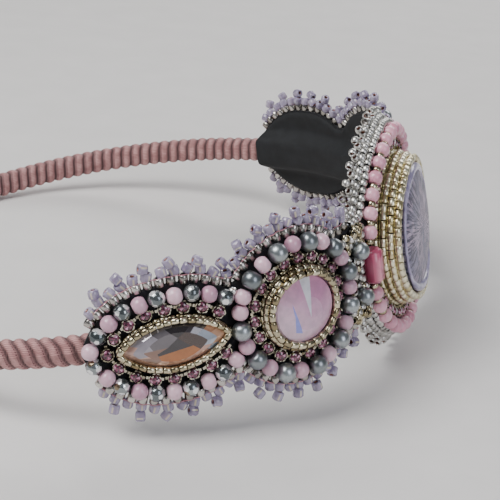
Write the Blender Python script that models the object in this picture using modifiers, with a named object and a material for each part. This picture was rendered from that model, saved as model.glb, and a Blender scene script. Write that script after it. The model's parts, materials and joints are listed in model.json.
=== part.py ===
"""Beaded headband: a ribbon-wound hoop that carries a bead-embroidered panel of five lobes.

The panel is laid out flat, as a bead worker lays it out on felt: s runs along the
hoop from its crown, t runs across the band, h stands out of the felt. on_panel()
bends that layout round the hoop. The hoop's plane is then tipped until the
headband lies on its side, on the medallion's edging and the hoop's two tips.
Units are metres, +Z is up, and the crown of the hoop points along +X.
"""
from math import atan2, cos, pi, sin, sqrt

import bmesh
import bpy
import numpy as np
from mathutils import Matrix, Vector

MM = 0.001

# Hoop: radius of the felt's face and length of each arc, from the crown to a tip
CROWN_RADIUS, CROWN_LENGTH = 150 * MM, 28 * MM
SHOULDER_RADIUS, SHOULDER_LENGTH = 55 * MM, 34.5 * MM
SIDE_RADIUS, SIDE_LENGTH = 100 * MM, 41.5 * MM
ARM_RADIUS, ARM_LENGTH = 80 * MM, 110 * MM
HOOP_WIDTH = 7.0 * MM
HOOP_THICKNESS = 3.8 * MM
HOOP_STEP = 9 * MM

# Felt base and leather lining
FELT_THICKNESS = 1.5 * MM
LINING_THICKNESS = 1.2 * MM
LINING_SLOPE = 2.6 * MM
LINING_INSET = 0.8 * MM
CLEARANCE = 0.3 * MM

# Beads and set stones
SMALL_BEAD = 4.0 * MM
PEARL = 5.0 * MM
SEED_BEAD = 2.3 * MM
CUP_WIDTH = 2.6 * MM
NECK_SHARE = 0.42
TUBE_BEAD_LENGTH, TUBE_BEAD_WIDTH = 9.5 * MM, 5.0 * MM
CLUSTER_LENGTH, CLUSTER_WIDTH = 6.0 * MM, 2.6 * MM

# Lobes: size of the line that the bead rings follow, and place along the hoop
MEDALLION_RING = 26.8 * MM
ROUND_RING = 16.4 * MM
NAVETTE_RING_LENGTH, NAVETTE_RING_WIDTH = 40 * MM, 24.2 * MM
INNER_NECK_LENGTH, INNER_NECK_WIDTH = 11.8 * MM, 25 * MM
OUTER_NECK_WIDTH = 20 * MM
NAVETTE_STEP = 32.5 * MM
ROUND_PLACE = MEDALLION_RING + INNER_NECK_LENGTH + ROUND_RING
NAVETTE_PLACE = ROUND_PLACE + NAVETTE_STEP

# Spacing from a bead ring inward to the cup chain, and outward to the felt's edge and the edging
CHAIN_INSET = 3.8 * MM
NAVETTE_CHAIN_INSET = 3.6 * MM
FELT_MARGIN = 1.6 * MM
EDGING_GAP = 0.8 * MM
BAND_MARGIN = 1.0 * MM
PEARL_OFFSET = 6.2 * MM

# Edging: its rows' and picots' reach past the felt, and how far the picots curl to the back
EDGING_BASE, PICOT_REACH, PICOT_DROP = 3.8 * MM, 2.6 * MM, 0.0
MEDALLION_EDGING, MEDALLION_PICOT, MEDALLION_DROP = 3.0 * MM, 1.6 * MM, 3.6 * MM
PICOT_PITCH = 6.0 * MM

# Bezels: outer size of each beaded collar, and its height
NAVETTE_COLLAR_LENGTH, NAVETTE_COLLAR_WIDTH = 26.6 * MM, 13.8 * MM
NAVETTE_COLLAR_HEIGHT = 3.9 * MM
ROUND_COLLAR, ROUND_COLLAR_HEIGHT = 21.6 * MM, 4.1 * MM
STONE_PLAY = 0.1 * MM

# Stones: size of the girdle, how high the foot stands, and the cut above it
NAVETTE_STONE_LENGTH, NAVETTE_STONE_WIDTH = 25 * MM, 11.4 * MM
ROUND_STONE = 18 * MM
STONE_FOOT = 0.8 * MM
STONE_RISE = 3.8 * MM
MEDALLION_STONE, MEDALLION_STONE_EDGE, MEDALLION_DOME = 30 * MM, 1.6 * MM, 2.0 * MM
MEDALLION_WALL, MEDALLION_WALL_HEIGHT = 42.6 * MM, 5.6 * MM
LILAC_RING_TUBE = 3.4 * MM

ARCS = ((CROWN_RADIUS, CROWN_LENGTH), (SHOULDER_RADIUS, SHOULDER_LENGTH),
        (SIDE_RADIUS, SIDE_LENGTH), (ARM_RADIUS, ARM_LENGTH))
HALF_LENGTH = sum(length for radius, length in ARCS)
HOOP_DEPTH = FELT_THICKNESS + CLEARANCE + HOOP_THICKNESS / 2

# Power and fullness of the marquise outlines: the bead ring's blunt one, the stone's pointed one
# and the collar's between them
NAVETTE_ROUNDNESS = (2.4, 0.75)
STONE_ROUNDNESS = (2.1, 0.88)
COLLAR_ROUNDNESS = (2.2, 0.82)

# Bevel resolution of the beads (10 sides) and of the cup chains (8 sides)
BEAD_SIDES = 3
CHAIN_SIDES = 2

SIDES = ((-1, "right"), (1, "left"))
LEVELS = ((1, "upper"), (-1, "lower"))

# Part colours: red, green, blue (linear), roughness, metallic
FINISHES = {
    "ribbon": ((0.39, 0.21, 0.21), 0.62, 0.0),
    "felt": ((0.008, 0.009, 0.010), 0.95, 0.0),
    "leather": ((0.024, 0.027, 0.032), 0.70, 0.0),
    "lilac_beads": ((0.30, 0.27, 0.42), 0.30, 0.0),
    "silver_beads": ((0.36, 0.37, 0.36), 0.25, 1.0),
    "gold_beads": ((0.50, 0.43, 0.27), 0.28, 1.0),
    "pink_beads": ((0.58, 0.35, 0.42), 0.45, 0.0),
    "pearls": ((0.27, 0.30, 0.31), 0.22, 0.0),
    "cup_chain": ((0.30, 0.10, 0.16), 0.18, 0.3),
    "champagne_stone": ((0.36, 0.20, 0.13), 0.06, 0.0),
    "opal_stone": ((0.60, 0.32, 0.45), 0.10, 0.0),
    "mauve_stone": ((0.36, 0.31, 0.40), 0.25, 0.0),
    "lilac_glass": ((0.33, 0.30, 0.44), 0.20, 0.0),
    "rose_glass": ((0.52, 0.13, 0.20), 0.35, 0.0),
}


def clear_scene():
    for thing in list(bpy.data.objects):
        bpy.data.objects.remove(thing, do_unlink=True)


def new_collection(name):
    group = bpy.data.collections.new(name)
    bpy.context.scene.collection.children.link(group)
    return group


def finish(name):
    colour, roughness, metallic = FINISHES[name]
    material = bpy.data.materials.new(name)
    material.use_nodes = True
    surface = material.node_tree.nodes["Principled BSDF"]
    surface.inputs["Base Color"].default_value = (*colour, 1.0)
    surface.inputs["Roughness"].default_value = roughness
    surface.inputs["Metallic"].default_value = metallic
    return material


def face_line(s):
    """Point and outward direction of the felt's face at the distance s from the crown."""
    x, y, turn, left = 0.0, 0.0, 0.0, abs(s)
    for number, (radius, length) in enumerate(ARCS):
        run = left if number == len(ARCS) - 1 else min(left, length)
        end = turn + run / radius
        x += radius * (cos(end) - cos(turn))
        y += radius * (sin(end) - sin(turn))
        turn = end
        left -= run
        if left <= 0:
            break
    side = -1.0 if s < 0 else 1.0
    return x, side * y, cos(turn), side * sin(turn)


def on_panel(s, t, h):
    """The flat layout bent round the hoop."""
    x, y, out_x, out_y = face_line(s)
    return Vector((x + h * out_x, y + h * out_y, t))


def seat(s, t=0.0, h=0.0):
    """Frame of a stiff piece on the panel: X along the hoop, Y across it, Z out of the felt."""
    x, y, out_x, out_y = face_line(s)
    along = Vector((-out_y, out_x, 0.0))
    across = Vector((0.0, 0.0, 1.0))
    out = Vector((out_x, out_y, 0.0))
    turn = Matrix((along, across, out)).transposed().to_4x4()
    return Matrix.Translation(on_panel(s, t, h)) @ turn


def place(part, name, group, material, matrix=None):
    part.name = name
    part.data.name = name
    part.data.materials.clear()
    part.data.materials.append(material)
    for holder in list(part.users_collection):
        holder.objects.unlink(part)
    group.objects.link(part)
    if matrix is not None:
        part.matrix_world = matrix
    return part


def smooth(mesh, angle=40):
    mesh.shade_smooth()
    mesh.set_sharp_from_angle(angle=angle * pi / 180)


def loft(sections, closed=False):
    """A mesh through equal loops of points: ends capped, or the last section joined to the first."""
    mesh = bpy.data.meshes.new("loft")
    work = bmesh.new()
    loops = [[work.verts.new(point) for point in section] for section in sections]
    count = len(loops[0])
    pairs = list(zip(loops, loops[1:]))
    if closed:
        pairs.append((loops[-1], loops[0]))
    for first, second in pairs:
        for i in range(count):
            j = (i + 1) % count
            work.faces.new((first[i], first[j], second[j], second[i]))
    if not closed:
        work.faces.new(list(reversed(loops[0])))
        work.faces.new(loops[-1])
    bmesh.ops.recalc_face_normals(work, faces=work.faces)
    if work.calc_volume(signed=True) < 0:
        bmesh.ops.reverse_faces(work, faces=work.faces)
    work.to_mesh(mesh)
    work.free()
    smooth(mesh)
    return mesh


def navette(length, width, roundness, turn):
    """Point of a marquise outline, at the angle turn from its tip."""
    power, fullness = roundness
    along = cos(turn)
    across = max(0.0, 1.0 - abs(along) ** power) ** fullness
    side = 1.0 if sin(turn) >= 0 else -1.0
    return length / 2 * along, side * width / 2 * across


def circle(radius):
    """A round outline: its point at each angle turn."""
    return lambda turn: (radius * cos(turn), radius * sin(turn))


def even_path(outline, samples=720):
    """A closed outline (a function of a turn) as a dense line with the length run at each point."""
    line = np.array([outline(2 * pi * i / samples) for i in range(samples + 1)])
    steps = np.hypot(*np.diff(line, axis=0).T)
    return line, np.concatenate(([0.0], np.cumsum(steps)))


def point_at(path, distance):
    line, run = path
    return float(np.interp(distance, run, line[:, 0])), float(np.interp(distance, run, line[:, 1]))


def string_curve(points, radii, resolution, cyclic):
    """Round beads or cups on a thread: one tube whose radius swells at each bead."""
    curve = bpy.data.curves.new("string", "CURVE")
    curve.dimensions = "3D"
    curve.bevel_depth = 1.0
    curve.bevel_resolution = resolution
    curve.use_fill_caps = True
    curve.render_resolution_u = 0
    spline = curve.splines.new("POLY")
    spline.points.add(len(points) - 1)
    for knot, point, radius in zip(spline.points, points, radii):
        knot.co = (*point, 1.0)
        knot.radius = radius
    spline.use_cyclic_u = cyclic
    spline.use_smooth = True
    return bpy.data.objects.new("string", curve)


def bead_knots(centre, diameter, pitch):
    """Thread stations of one bead: where it meets the one before, and its two shoulders."""
    shoulder = 0.25 * diameter
    return ((centre - pitch / 2, NECK_SHARE * diameter / 2),
            (centre - shoulder, 0.94 * diameter / 2),
            (centre + shoulder, 0.94 * diameter / 2))


def clear_of_round_ring(s, t, needed):
    """True where a navette's beads and cups stay clear of the round lobe's bead ring."""
    away = abs(sqrt((s - ROUND_PLACE) ** 2 + t ** 2) - ROUND_RING)
    inside = (s - ROUND_PLACE) ** 2 + t ** 2 < ROUND_RING ** 2
    return away >= needed and not inside


def lobe_reach(s, margin):
    """Half width of the panel at s when every lobe's ring line is grown by a margin."""
    s = abs(s)
    reach = 0.0
    for middle, radius in ((0.0, MEDALLION_RING + margin), (ROUND_PLACE, ROUND_RING + margin)):
        if abs(s - middle) < radius:
            reach = max(reach, sqrt(radius ** 2 - (s - middle) ** 2))
    share = abs(s - NAVETTE_PLACE) / (NAVETTE_RING_LENGTH / 2 + margin)
    if share < 1.0:
        power, fullness = NAVETTE_ROUNDNESS
        reach = max(reach, (NAVETTE_RING_WIDTH / 2 + margin) * (1 - share ** power) ** fullness)
    if s <= ROUND_PLACE:
        reach = max(reach, INNER_NECK_WIDTH / 2 + margin - FELT_MARGIN)
    elif s <= NAVETTE_PLACE:
        reach = max(reach, OUTER_NECK_WIDTH / 2 + margin - FELT_MARGIN)
    return reach


def lobe_end(half, margin):
    """Distance along the hoop at which the last lobe, grown by a margin, narrows to a half width."""
    power, fullness = NAVETTE_ROUNDNESS
    width = half / (NAVETTE_RING_WIDTH / 2 + margin)
    share = (1 - width ** (1 / fullness)) ** (1 / power)
    return NAVETTE_PLACE + share * (NAVETTE_RING_LENGTH / 2 + margin)


def edge_line(start, end, margin, count):
    """Points at even steps along the panel's edge, grown by a margin, from start to end."""
    s = np.linspace(start, end, 1500)
    t = np.array([lobe_reach(value, margin) for value in s])
    run = np.concatenate(([0.0], np.cumsum(np.hypot(np.diff(s), np.diff(t)))))
    even = np.linspace(0.0, run[-1], count)
    return list(zip(np.interp(even, run, s), np.interp(even, run, t)))


def edge_length(start, end, margin):
    line = np.array(edge_line(start, end, margin, 400))
    return float(np.hypot(*np.diff(line, axis=0).T).sum())


def make_hoop(group, guides):
    """The wound band: a rounded strip swept along the hoop, drawn in at its two tips."""
    tip_steps = (0.0, 0.6 * MM, 1.6 * MM, 3.2 * MM)
    tip_sizes = (0.45, 0.72, 0.92, 1.0)
    inner = HALF_LENGTH - 2 * tip_steps[-1]
    count = int(round(2 * inner / HOOP_STEP))
    stations = [(-HALF_LENGTH + step, size) for step, size in zip(tip_steps, tip_sizes)]
    stations += [(-inner + 2 * inner * i / count, 1.0) for i in range(count + 1)]
    stations += [(HALF_LENGTH - step, size) for step, size in reversed(list(zip(tip_steps, tip_sizes)))]

    corner = 0.30
    outline = bpy.data.curves.new("hoop_section", "CURVE")
    outline.dimensions = "2D"
    outline.fill_mode = "NONE"
    spline = outline.splines.new("POLY")
    ring = [(1, 1 - corner), (1 - corner / 2, 1), (-1 + corner / 2, 1), (-1, 1 - corner),
            (-1, -1 + corner), (-1 + corner / 2, -1), (1 - corner / 2, -1), (1, -1 + corner)]
    spline.points.add(len(ring) - 1)
    for knot, (u, v) in zip(spline.points, reversed(ring)):
        knot.co = (u * HOOP_THICKNESS / 2, v * HOOP_WIDTH / 2, 0.0, 1.0)
    spline.use_cyclic_u = True
    section = bpy.data.objects.new("hoop_section", outline)
    section.hide_render = True
    section.display_type = "WIRE"
    guides.objects.link(section)

    points = [on_panel(s, 0.0, -HOOP_DEPTH) for s, size in stations]
    hoop = string_curve(points, [size for s, size in stations], 0, False)
    hoop.data.bevel_mode = "OBJECT"
    hoop.data.bevel_object = section
    hoop.data.twist_mode = "Z_UP"
    place(hoop, "wrapped_hoop", group, finish("ribbon"))


def make_felt(group):
    """The felt that everything is sewn to, cut to the scalloped outline of the five lobes."""
    end = lobe_end(HOOP_WIDTH / 4, FELT_MARGIN)
    stations = edge_line(-end, end, FELT_MARGIN, 50)
    sections = []
    for s, t in stations:
        sections.append([on_panel(s, -t, 0), on_panel(s, t, 0),
                         on_panel(s, t, -FELT_THICKNESS), on_panel(s, -t, -FELT_THICKNESS)])
    part = bpy.data.objects.new("felt_base", loft(sections))
    place(part, "felt_base", group, finish("felt"))


def make_lining(group):
    """The leather inside, raised over the hoop and lying against the felt beside it."""
    crest_half = HOOP_WIDTH / 2 + CLEARANCE
    foot_half = crest_half + LINING_SLOPE
    foot = -FELT_THICKNESS - CLEARANCE
    crest = -HOOP_DEPTH - HOOP_THICKNESS / 2 - CLEARANCE

    def depth(t):
        share = min(1.0, max(0.0, (abs(t) - crest_half) / LINING_SLOPE))
        return crest + (foot - crest) * share

    margin = FELT_MARGIN - LINING_INSET
    end = lobe_end(crest_half + CLEARANCE, margin)
    stations = edge_line(-end, end, margin, 38)
    sections = []
    for s, half in stations:
        across = [half, min(foot_half, half * 0.95), min(crest_half, half * 0.9)]
        across += [-t for t in reversed(across)]
        front = [on_panel(s, t, depth(t)) for t in across]
        back = [on_panel(s, t, depth(t) - LINING_THICKNESS) for t in reversed(across)]
        sections.append(front + back)
    part = bpy.data.objects.new("leather_lining", loft(sections))
    place(part, "leather_lining", group, finish("leather"))


def edging_ends():
    """Where each lobe's edging starts and stops along the hoop, for one side of the band."""
    root = sqrt((ROUND_RING + FELT_MARGIN) ** 2 - (OUTER_NECK_WIDTH / 2) ** 2)
    notch = ROUND_PLACE + root + EDGING_GAP
    neck = (MEDALLION_RING + ROUND_PLACE - ROUND_RING) / 2
    return neck, notch, lobe_end(HOOP_WIDTH / 2 + BAND_MARGIN, FELT_MARGIN)


def make_edging(group):
    """Brick-stitched border with its picot points, one strip for each lobe, above and below."""
    neck, notch, end = edging_ends()
    gap = CLEARANCE / 2
    lilac = finish("lilac_beads")
    curl = (MEDALLION_EDGING, MEDALLION_PICOT, MEDALLION_DROP)
    flat = (EDGING_BASE, PICOT_REACH, PICOT_DROP)
    strips = [("edging_medallion", gap - neck, neck - gap, curl, finish("silver_beads"))]
    for side, word in SIDES:
        strips.append(("edging_round_" + word, side * (neck + gap), side * (notch - gap), flat, lilac))
        strips.append(("edging_navette_" + word, side * (notch + gap), side * end, flat, lilac))
    top = SEED_BEAD / 2 - FELT_THICKNESS - CLEARANCE / 2
    for name, start, stop, (row, reach, drop), material in strips:
        base = FELT_MARGIN + row
        valley_drop = drop * (row - EDGING_GAP) / (row - EDGING_GAP + reach)
        count = 2 * int(round(edge_length(start, stop, base) / PICOT_PITCH)) + 1
        inner = edge_line(start, stop, FELT_MARGIN + EDGING_GAP, count)
        valleys = edge_line(start, stop, base, count)
        peaks = edge_line(start, stop, base + reach, count)
        for up, level in LEVELS:
            sections = []
            for i in range(count):
                outer, low = (peaks[i], top - drop) if i % 2 else (valleys[i], top - valley_drop)
                corners = ((inner[i], top), (outer, low),
                           (outer, low - SEED_BEAD), (inner[i], top - SEED_BEAD))
                sections.append([on_panel(s, up * t, h) for (s, t), h in corners])
            part = bpy.data.objects.new("strip", loft(sections))
            place(part, name + "_" + level, group, material)


def ring_string(name, group, material, path, middle, height, beads, span, keep):
    """A string of beads sewn round a lobe: beads is a list of diameters, span its start and stop."""
    pitches = np.array(beads)
    start, stop = span
    scale = (stop - start) / pitches.sum()
    centres = start + scale * (np.cumsum(pitches) - pitches / 2)
    closed = keep is None
    knots = []
    for centre, diameter in zip(centres, beads):
        s, t = point_at(path, centre)
        if keep is None or keep(middle + s, t, diameter):
            knots += bead_knots(centre, diameter, scale * diameter)
    if not closed:
        knots.append((knots[-1][0] + 0.25 * beads[-1], knots[0][1]))
    points = []
    for distance, radius in knots:
        s, t = point_at(path, distance)
        points.append(on_panel(middle + s, t, height))
    string = string_curve(points, [radius for distance, radius in knots], BEAD_SIDES, closed)
    return place(string, name, group, material)


def chain_tube(name, group, material, path, middle, steps, keep=None):
    """The cup chain's own thickness, laid along its line: its cups and stones are finer than this."""
    length = path[1][-1]
    distances = [length * i / steps for i in range(steps)]
    if keep is not None:
        distances = [d for d in distances if keep(middle + point_at(path, d)[0], point_at(path, d)[1])]
    points = []
    for distance in distances:
        s, t = point_at(path, distance)
        points.append(on_panel(middle + s, t, CUP_WIDTH / 2 + CLEARANCE))
    tube = string_curve(points, [CUP_WIDTH / 2] * len(points), CHAIN_SIDES, keep is None)
    return place(tube, name, group, material)


def collar(name, group, material, inner, outer, profile, sides, matrix):
    """A beaded bezel: profile rows are a share of the way from inner to outer, and a height."""
    sections = []
    for i in range(sides):
        turn = 2 * pi * i / sides
        low = Vector((*inner(turn), 0.0))
        high = Vector((*outer(turn), 0.0))
        sections.append([low.lerp(high, share) + Vector((0.0, 0.0, height)) for share, height in profile])
    part = bpy.data.objects.new("collar", loft(sections, closed=True))
    return place(part, name, group, material, matrix)


def turned(name, group, material, profile, sides, matrix):
    """A turned solid: profile rows are radius and height, from the top of the axis to its foot."""
    mesh = bpy.data.meshes.new(name)
    points = [(radius, 0.0, height) for radius, height in profile]
    mesh.from_pydata(points, [(i, i + 1) for i in range(len(points) - 1)], [])
    part = bpy.data.objects.new(name, mesh)
    place(part, name, group, material, matrix)
    screw = part.modifiers.new("turn", "SCREW")
    screw.axis = "Z"
    screw.steps = sides
    screw.render_steps = sides
    screw.use_merge_vertices = True
    screw.merge_threshold = 0.00005
    screw.use_normal_calculate = True
    screw.use_smooth_shade = True
    return part


def cut_stone(name, group, material, rows, outline, sides, matrix):
    """A faceted stone: rows are share of the outline and height, from the foot to the table."""
    sections = []
    for number, (share, height) in enumerate(rows):
        shift = pi / sides if number % 2 else 0.0
        ring = []
        for i in range(sides):
            x, y = outline(2 * pi * i / sides + shift)
            ring.append(Vector((x * share, y * share, height)))
        sections.append(ring)
    part = bpy.data.objects.new("stone", loft(sections))
    smooth(part.data, 1)
    return place(part, name, group, material, matrix)


def cut_rows(*rows):
    """Rows of a cut stone, given as a share of its outline and of its rise above the foot."""
    return [(share, STONE_FOOT + STONE_RISE * rise) for share, rise in rows]


def lipped(wall, lip, crest, shoulder, height):
    """Profile of a bezel: up the stone's wall, in over its edge, and down the outer side."""
    rows = [(share, rise * height) for share, rise in (wall, lip, crest, shoulder)]
    return [(0.0, CLEARANCE)] + rows + [(1.0, CLEARANCE)]


def make_navette(group, side, word):
    """A marquise lobe: the stone, its beaded collar, the cup chain and the bead ring."""
    middle = side * NAVETTE_PLACE
    base = seat(middle)

    def line(length, width, roundness):
        return lambda turn: navette(length, width, roundness, turn)

    stone = line(NAVETTE_STONE_LENGTH, NAVETTE_STONE_WIDTH, STONE_ROUNDNESS)
    rows = cut_rows((0.70, 0.0), (1.0, 0.26), (0.90, 0.63), (0.62, 1.0))
    cut_stone("navette_stone_" + word, group, finish("champagne_stone"), rows, stone, 12, base)

    play = 2 * (CLEARANCE + STONE_PLAY)
    inner = line(NAVETTE_STONE_LENGTH + play, NAVETTE_STONE_WIDTH + 2 * play, STONE_ROUNDNESS)
    outer = line(NAVETTE_COLLAR_LENGTH, NAVETTE_COLLAR_WIDTH, COLLAR_ROUNDNESS)
    profile = lipped((0.0, 0.56), (-0.75, 0.92), (0.1, 1.0), (0.9, 0.67), NAVETTE_COLLAR_HEIGHT)
    collar("navette_bezel_" + word, group, finish("gold_beads"), inner, outer, profile, 22, base)

    def keep_cup(s, t):
        return clear_of_round_ring(abs(s), t, CUP_WIDTH / 2 + PEARL / 2 + CLEARANCE)

    chain = even_path(line(NAVETTE_RING_LENGTH - 2 * NAVETTE_CHAIN_INSET,
                           NAVETTE_RING_WIDTH - 2 * NAVETTE_CHAIN_INSET, NAVETTE_ROUNDNESS))
    chain_tube("navette_cup_chain_" + word, group, finish("cup_chain"), turned_path(chain, side),
               middle, 26, keep_cup)

    def keep_bead(s, t, diameter):
        return clear_of_round_ring(abs(s), t, diameter / 2 + PEARL / 2 + CLEARANCE)

    ring = turned_path(even_path(line(NAVETTE_RING_LENGTH, NAVETTE_RING_WIDTH, NAVETTE_ROUNDNESS)), side)
    length = ring[1][-1]
    count = 2 * int(round(length / SMALL_BEAD / 2))
    ring_string("navette_bead_ring_" + word, group, finish("pink_beads"), ring, middle,
                SMALL_BEAD / 2 + CLEARANCE, [SMALL_BEAD] * count, (0.0, length), keep_bead)


def turned_path(path, side):
    """The same line started at the tip that faces the crown, so an open string stays in one piece."""
    line, run = path
    flipped = line * np.array((-side, 1.0))
    return flipped, run


def make_round(group, side, word):
    """A round lobe: the cone-cut stone, its beaded collar, the cup chain and the pearl ring."""
    middle = side * ROUND_PLACE
    base = seat(middle)

    radius = ROUND_STONE / 2
    rows = cut_rows((0.70, 0.0), (1.0, 0.32), (0.93, 0.6), (0.30, 1.0))
    cut_stone("round_stone_" + word, group, finish("opal_stone"), rows, circle(radius), 14, base)

    profile = lipped((0.0, 0.58), (-0.6, 0.83), (0.1, 1.0), (0.8, 0.78), ROUND_COLLAR_HEIGHT)
    collar("round_bezel_" + word, group, finish("gold_beads"),
           circle(radius + CLEARANCE + STONE_PLAY), circle(ROUND_COLLAR / 2), profile, 18, base)

    chain_tube("round_cup_chain_" + word, group, finish("cup_chain"),
               even_path(circle(ROUND_RING - CHAIN_INSET - CLEARANCE)), middle, 22)

    ring = even_path(circle(ROUND_RING))
    length = ring[1][-1]
    pairs = int(length / (SMALL_BEAD + PEARL))
    beads = [PEARL, SMALL_BEAD] * pairs
    while length - sum(beads) > SMALL_BEAD / 2:
        beads.append(SMALL_BEAD)
    ring_string("round_bead_ring_" + word, group, finish("pearls"), ring, middle,
                PEARL / 2 + CLEARANCE, beads, (0.0, length), None)


def make_medallion(group):
    """The crown's round medallion: domed stone, lilac ring, tall seed wall, cup chain and beads."""
    base = seat(0.0)
    stone = MEDALLION_STONE / 2
    top = MEDALLION_WALL_HEIGHT
    girdle = top + MEDALLION_STONE_EDGE
    profile = [(stone * sin(pi / 2 * i / 5), girdle + MEDALLION_DOME * cos(pi / 2 * i / 5))
               for i in range(6)]
    profile += [(0.96 * stone, CLEARANCE), (0.0, CLEARANCE)]
    turned("medallion_stone", group, finish("mauve_stone"), profile, 24, base)

    tube = LILAC_RING_TUBE / 2
    ring = stone + CLEARANCE + tube
    low = top + CLEARANCE
    profile = ((0.15, low), (0.0, low + tube), (0.3, low + 1.8 * tube), (0.7, low + 1.8 * tube),
               (1.0, low + tube), (0.85, low))
    collar("lilac_ring", group, finish("lilac_glass"), circle(ring - tube), circle(ring + tube),
           profile, 24, base)

    profile = ((0.0, CLEARANCE), (0.0, top), (0.45, top), (0.8, 0.6 * top), (1.0, CLEARANCE))
    collar("medallion_bezel", group, finish("gold_beads"), circle(stone + 2 * CLEARANCE),
           circle(MEDALLION_WALL / 2), profile, 28, base)

    chain_tube("medallion_cup_chain", group, finish("cup_chain"),
               even_path(circle(MEDALLION_RING - CHAIN_INSET + STONE_PLAY)), 0.0, 26)

    half_gap = TUBE_BEAD_LENGTH / 2 + SEED_BEAD
    opening = half_gap / MEDALLION_RING
    for up, level in LEVELS:
        path = even_path(lambda turn: (MEDALLION_RING * cos(up * turn), MEDALLION_RING * sin(up * turn)))
        distances = np.linspace(opening * MEDALLION_RING, (pi - opening) * MEDALLION_RING, 16)
        points = [on_panel(*point_at(path, d), SMALL_BEAD / 2 + CLEARANCE) for d in distances]
        ring_part = string_curve(points, [SMALL_BEAD / 2] * len(points), BEAD_SIDES, False)
        place(ring_part, "medallion_bead_ring_" + level, group, finish("pink_beads"))


def make_fillers(group, side, word):
    """What fills the neck beside the medallion: a rose tube bead, two pearls, two seed clusters."""
    rose = finish("rose_glass")
    work = bmesh.new()
    bmesh.ops.create_cone(work, cap_ends=True, segments=8, radius1=TUBE_BEAD_WIDTH / 2,
                          radius2=TUBE_BEAD_WIDTH / 2, depth=TUBE_BEAD_LENGTH,
                          matrix=Matrix.Rotation(pi / 2, 4, "X") @ Matrix.Rotation(pi / 8, 4, "Z"))
    mesh = bpy.data.meshes.new("tube_bead")
    work.to_mesh(mesh)
    work.free()
    tube = bpy.data.objects.new("tube_bead", mesh)
    place(tube, "tube_bead_" + word, group, rose,
          seat(side * MEDALLION_RING, 0.0, TUBE_BEAD_WIDTH / 2 + CLEARANCE))
    edge = tube.modifiers.new("ground_edges", "BEVEL")
    edge.width = 0.6 * MM
    edge.segments = 1
    edge.limit_method = "ANGLE"
    edge.angle_limit = pi / 3

    between = (MEDALLION_RING + ROUND_PLACE - ROUND_RING) / 2
    for up, level in LEVELS:
        work = bmesh.new()
        bmesh.ops.create_uvsphere(work, u_segments=12, v_segments=7, radius=PEARL / 2)
        mesh = bpy.data.meshes.new("pearl")
        work.to_mesh(mesh)
        work.free()
        smooth(mesh)
        pearl = bpy.data.objects.new("pearl", mesh)
        place(pearl, "spacer_pearl_" + word + "_" + level, group, finish("pearls"),
              seat(side * between, up * PEARL_OFFSET, PEARL / 2 + CLEARANCE))

        work = bmesh.new()
        size = (CLUSTER_LENGTH / 2, CLUSTER_WIDTH / 2, CLUSTER_WIDTH / 2, 1.0)
        bmesh.ops.create_icosphere(work, subdivisions=1, radius=1.0, matrix=Matrix.Diagonal(size))
        mesh = bpy.data.meshes.new("cluster")
        work.to_mesh(mesh)
        work.free()
        smooth(mesh)
        cluster = bpy.data.objects.new("cluster", mesh)
        place(cluster, "seed_cluster_" + word + "_" + level, group, finish("gold_beads"),
              seat(side * between, up * (INNER_NECK_WIDTH - 1.2 * CLUSTER_WIDTH) / 2,
                   CLUSTER_WIDTH / 2 + CLEARANCE))


def solid_points(part, graph):
    """World corners and triangles of a piece as Blender evaluates it."""
    shown = part.evaluated_get(graph)
    mesh = shown.to_mesh()
    corners = np.empty(3 * len(mesh.vertices))
    mesh.vertices.foreach_get("co", corners)
    corners = corners.reshape(-1, 3)
    mesh.calc_loop_triangles()
    faces = np.empty(3 * len(mesh.loop_triangles), dtype=np.int64)
    mesh.loop_triangles.foreach_get("vertices", faces)
    shown.to_mesh_clear()
    turn = np.array(shown.matrix_world)
    return corners @ turn[:3, :3].T + turn[:3, 3], faces.reshape(-1, 3)


def turns_down(first, middle, last):
    """True where a walk along the underside dips at its middle point, so that it isn't a foot."""
    (x1, z1), (x2, z2) = middle - first, last - first
    return x1 * z2 - z1 * x2 <= 0


def lay_down(group):
    """Tip the hoop onto its side: it comes to rest on the two feet that its weight lies between."""
    bpy.context.view_layer.update()
    graph = bpy.context.evaluated_depsgraph_get()
    clouds, weight, moment = [], 0.0, 0.0
    for part in group.objects:
        corners, faces = solid_points(part, graph)
        clouds.append(corners)
        a, b, c = (corners[faces[:, k]] for k in range(3))
        sixths = np.einsum("ij,ij->i", a, np.cross(b, c)) / 6
        weight += sixths.sum()
        moment += (sixths * (a[:, 0] + b[:, 0] + c[:, 0]) / 4).sum()
    cloud = np.vstack(clouds)
    balance = moment / weight
    low = cloud[np.lexsort((cloud[:, 2], cloud[:, 0]))][:, (0, 2)]
    feet = []
    for point in low:
        while len(feet) > 1 and turns_down(feet[-2], feet[-1], point):
            feet.pop()
        feet.append(point)
    back, front = next((p, q) for p, q in zip(feet, feet[1:]) if p[0] <= balance < q[0])
    tilt = atan2(front[1] - back[1], front[0] - back[0])
    turn = Matrix.Rotation(tilt, 4, "Y")
    turned_cloud = cloud @ np.array(turn.to_3x3()).T
    middle = (turned_cloud.min(axis=0) + turned_cloud.max(axis=0)) / 2
    rest = bpy.data.objects.new("lying_pose", None)
    bpy.context.scene.collection.objects.link(rest)
    rest.location = (-middle[0], -middle[1], -turned_cloud[:, 2].min())
    rest.rotation_euler = (0.0, tilt, 0.0)
    for part in group.objects:
        part.parent = rest


def main():
    clear_scene()
    group = new_collection("beaded_headband")
    guides = new_collection("guides")
    make_hoop(group, guides)
    make_felt(group)
    make_lining(group)
    make_edging(group)
    make_medallion(group)
    for side, word in SIDES:
        make_round(group, side, word)
        make_navette(group, side, word)
        make_fillers(group, side, word)
    lay_down(group)


main()
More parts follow.
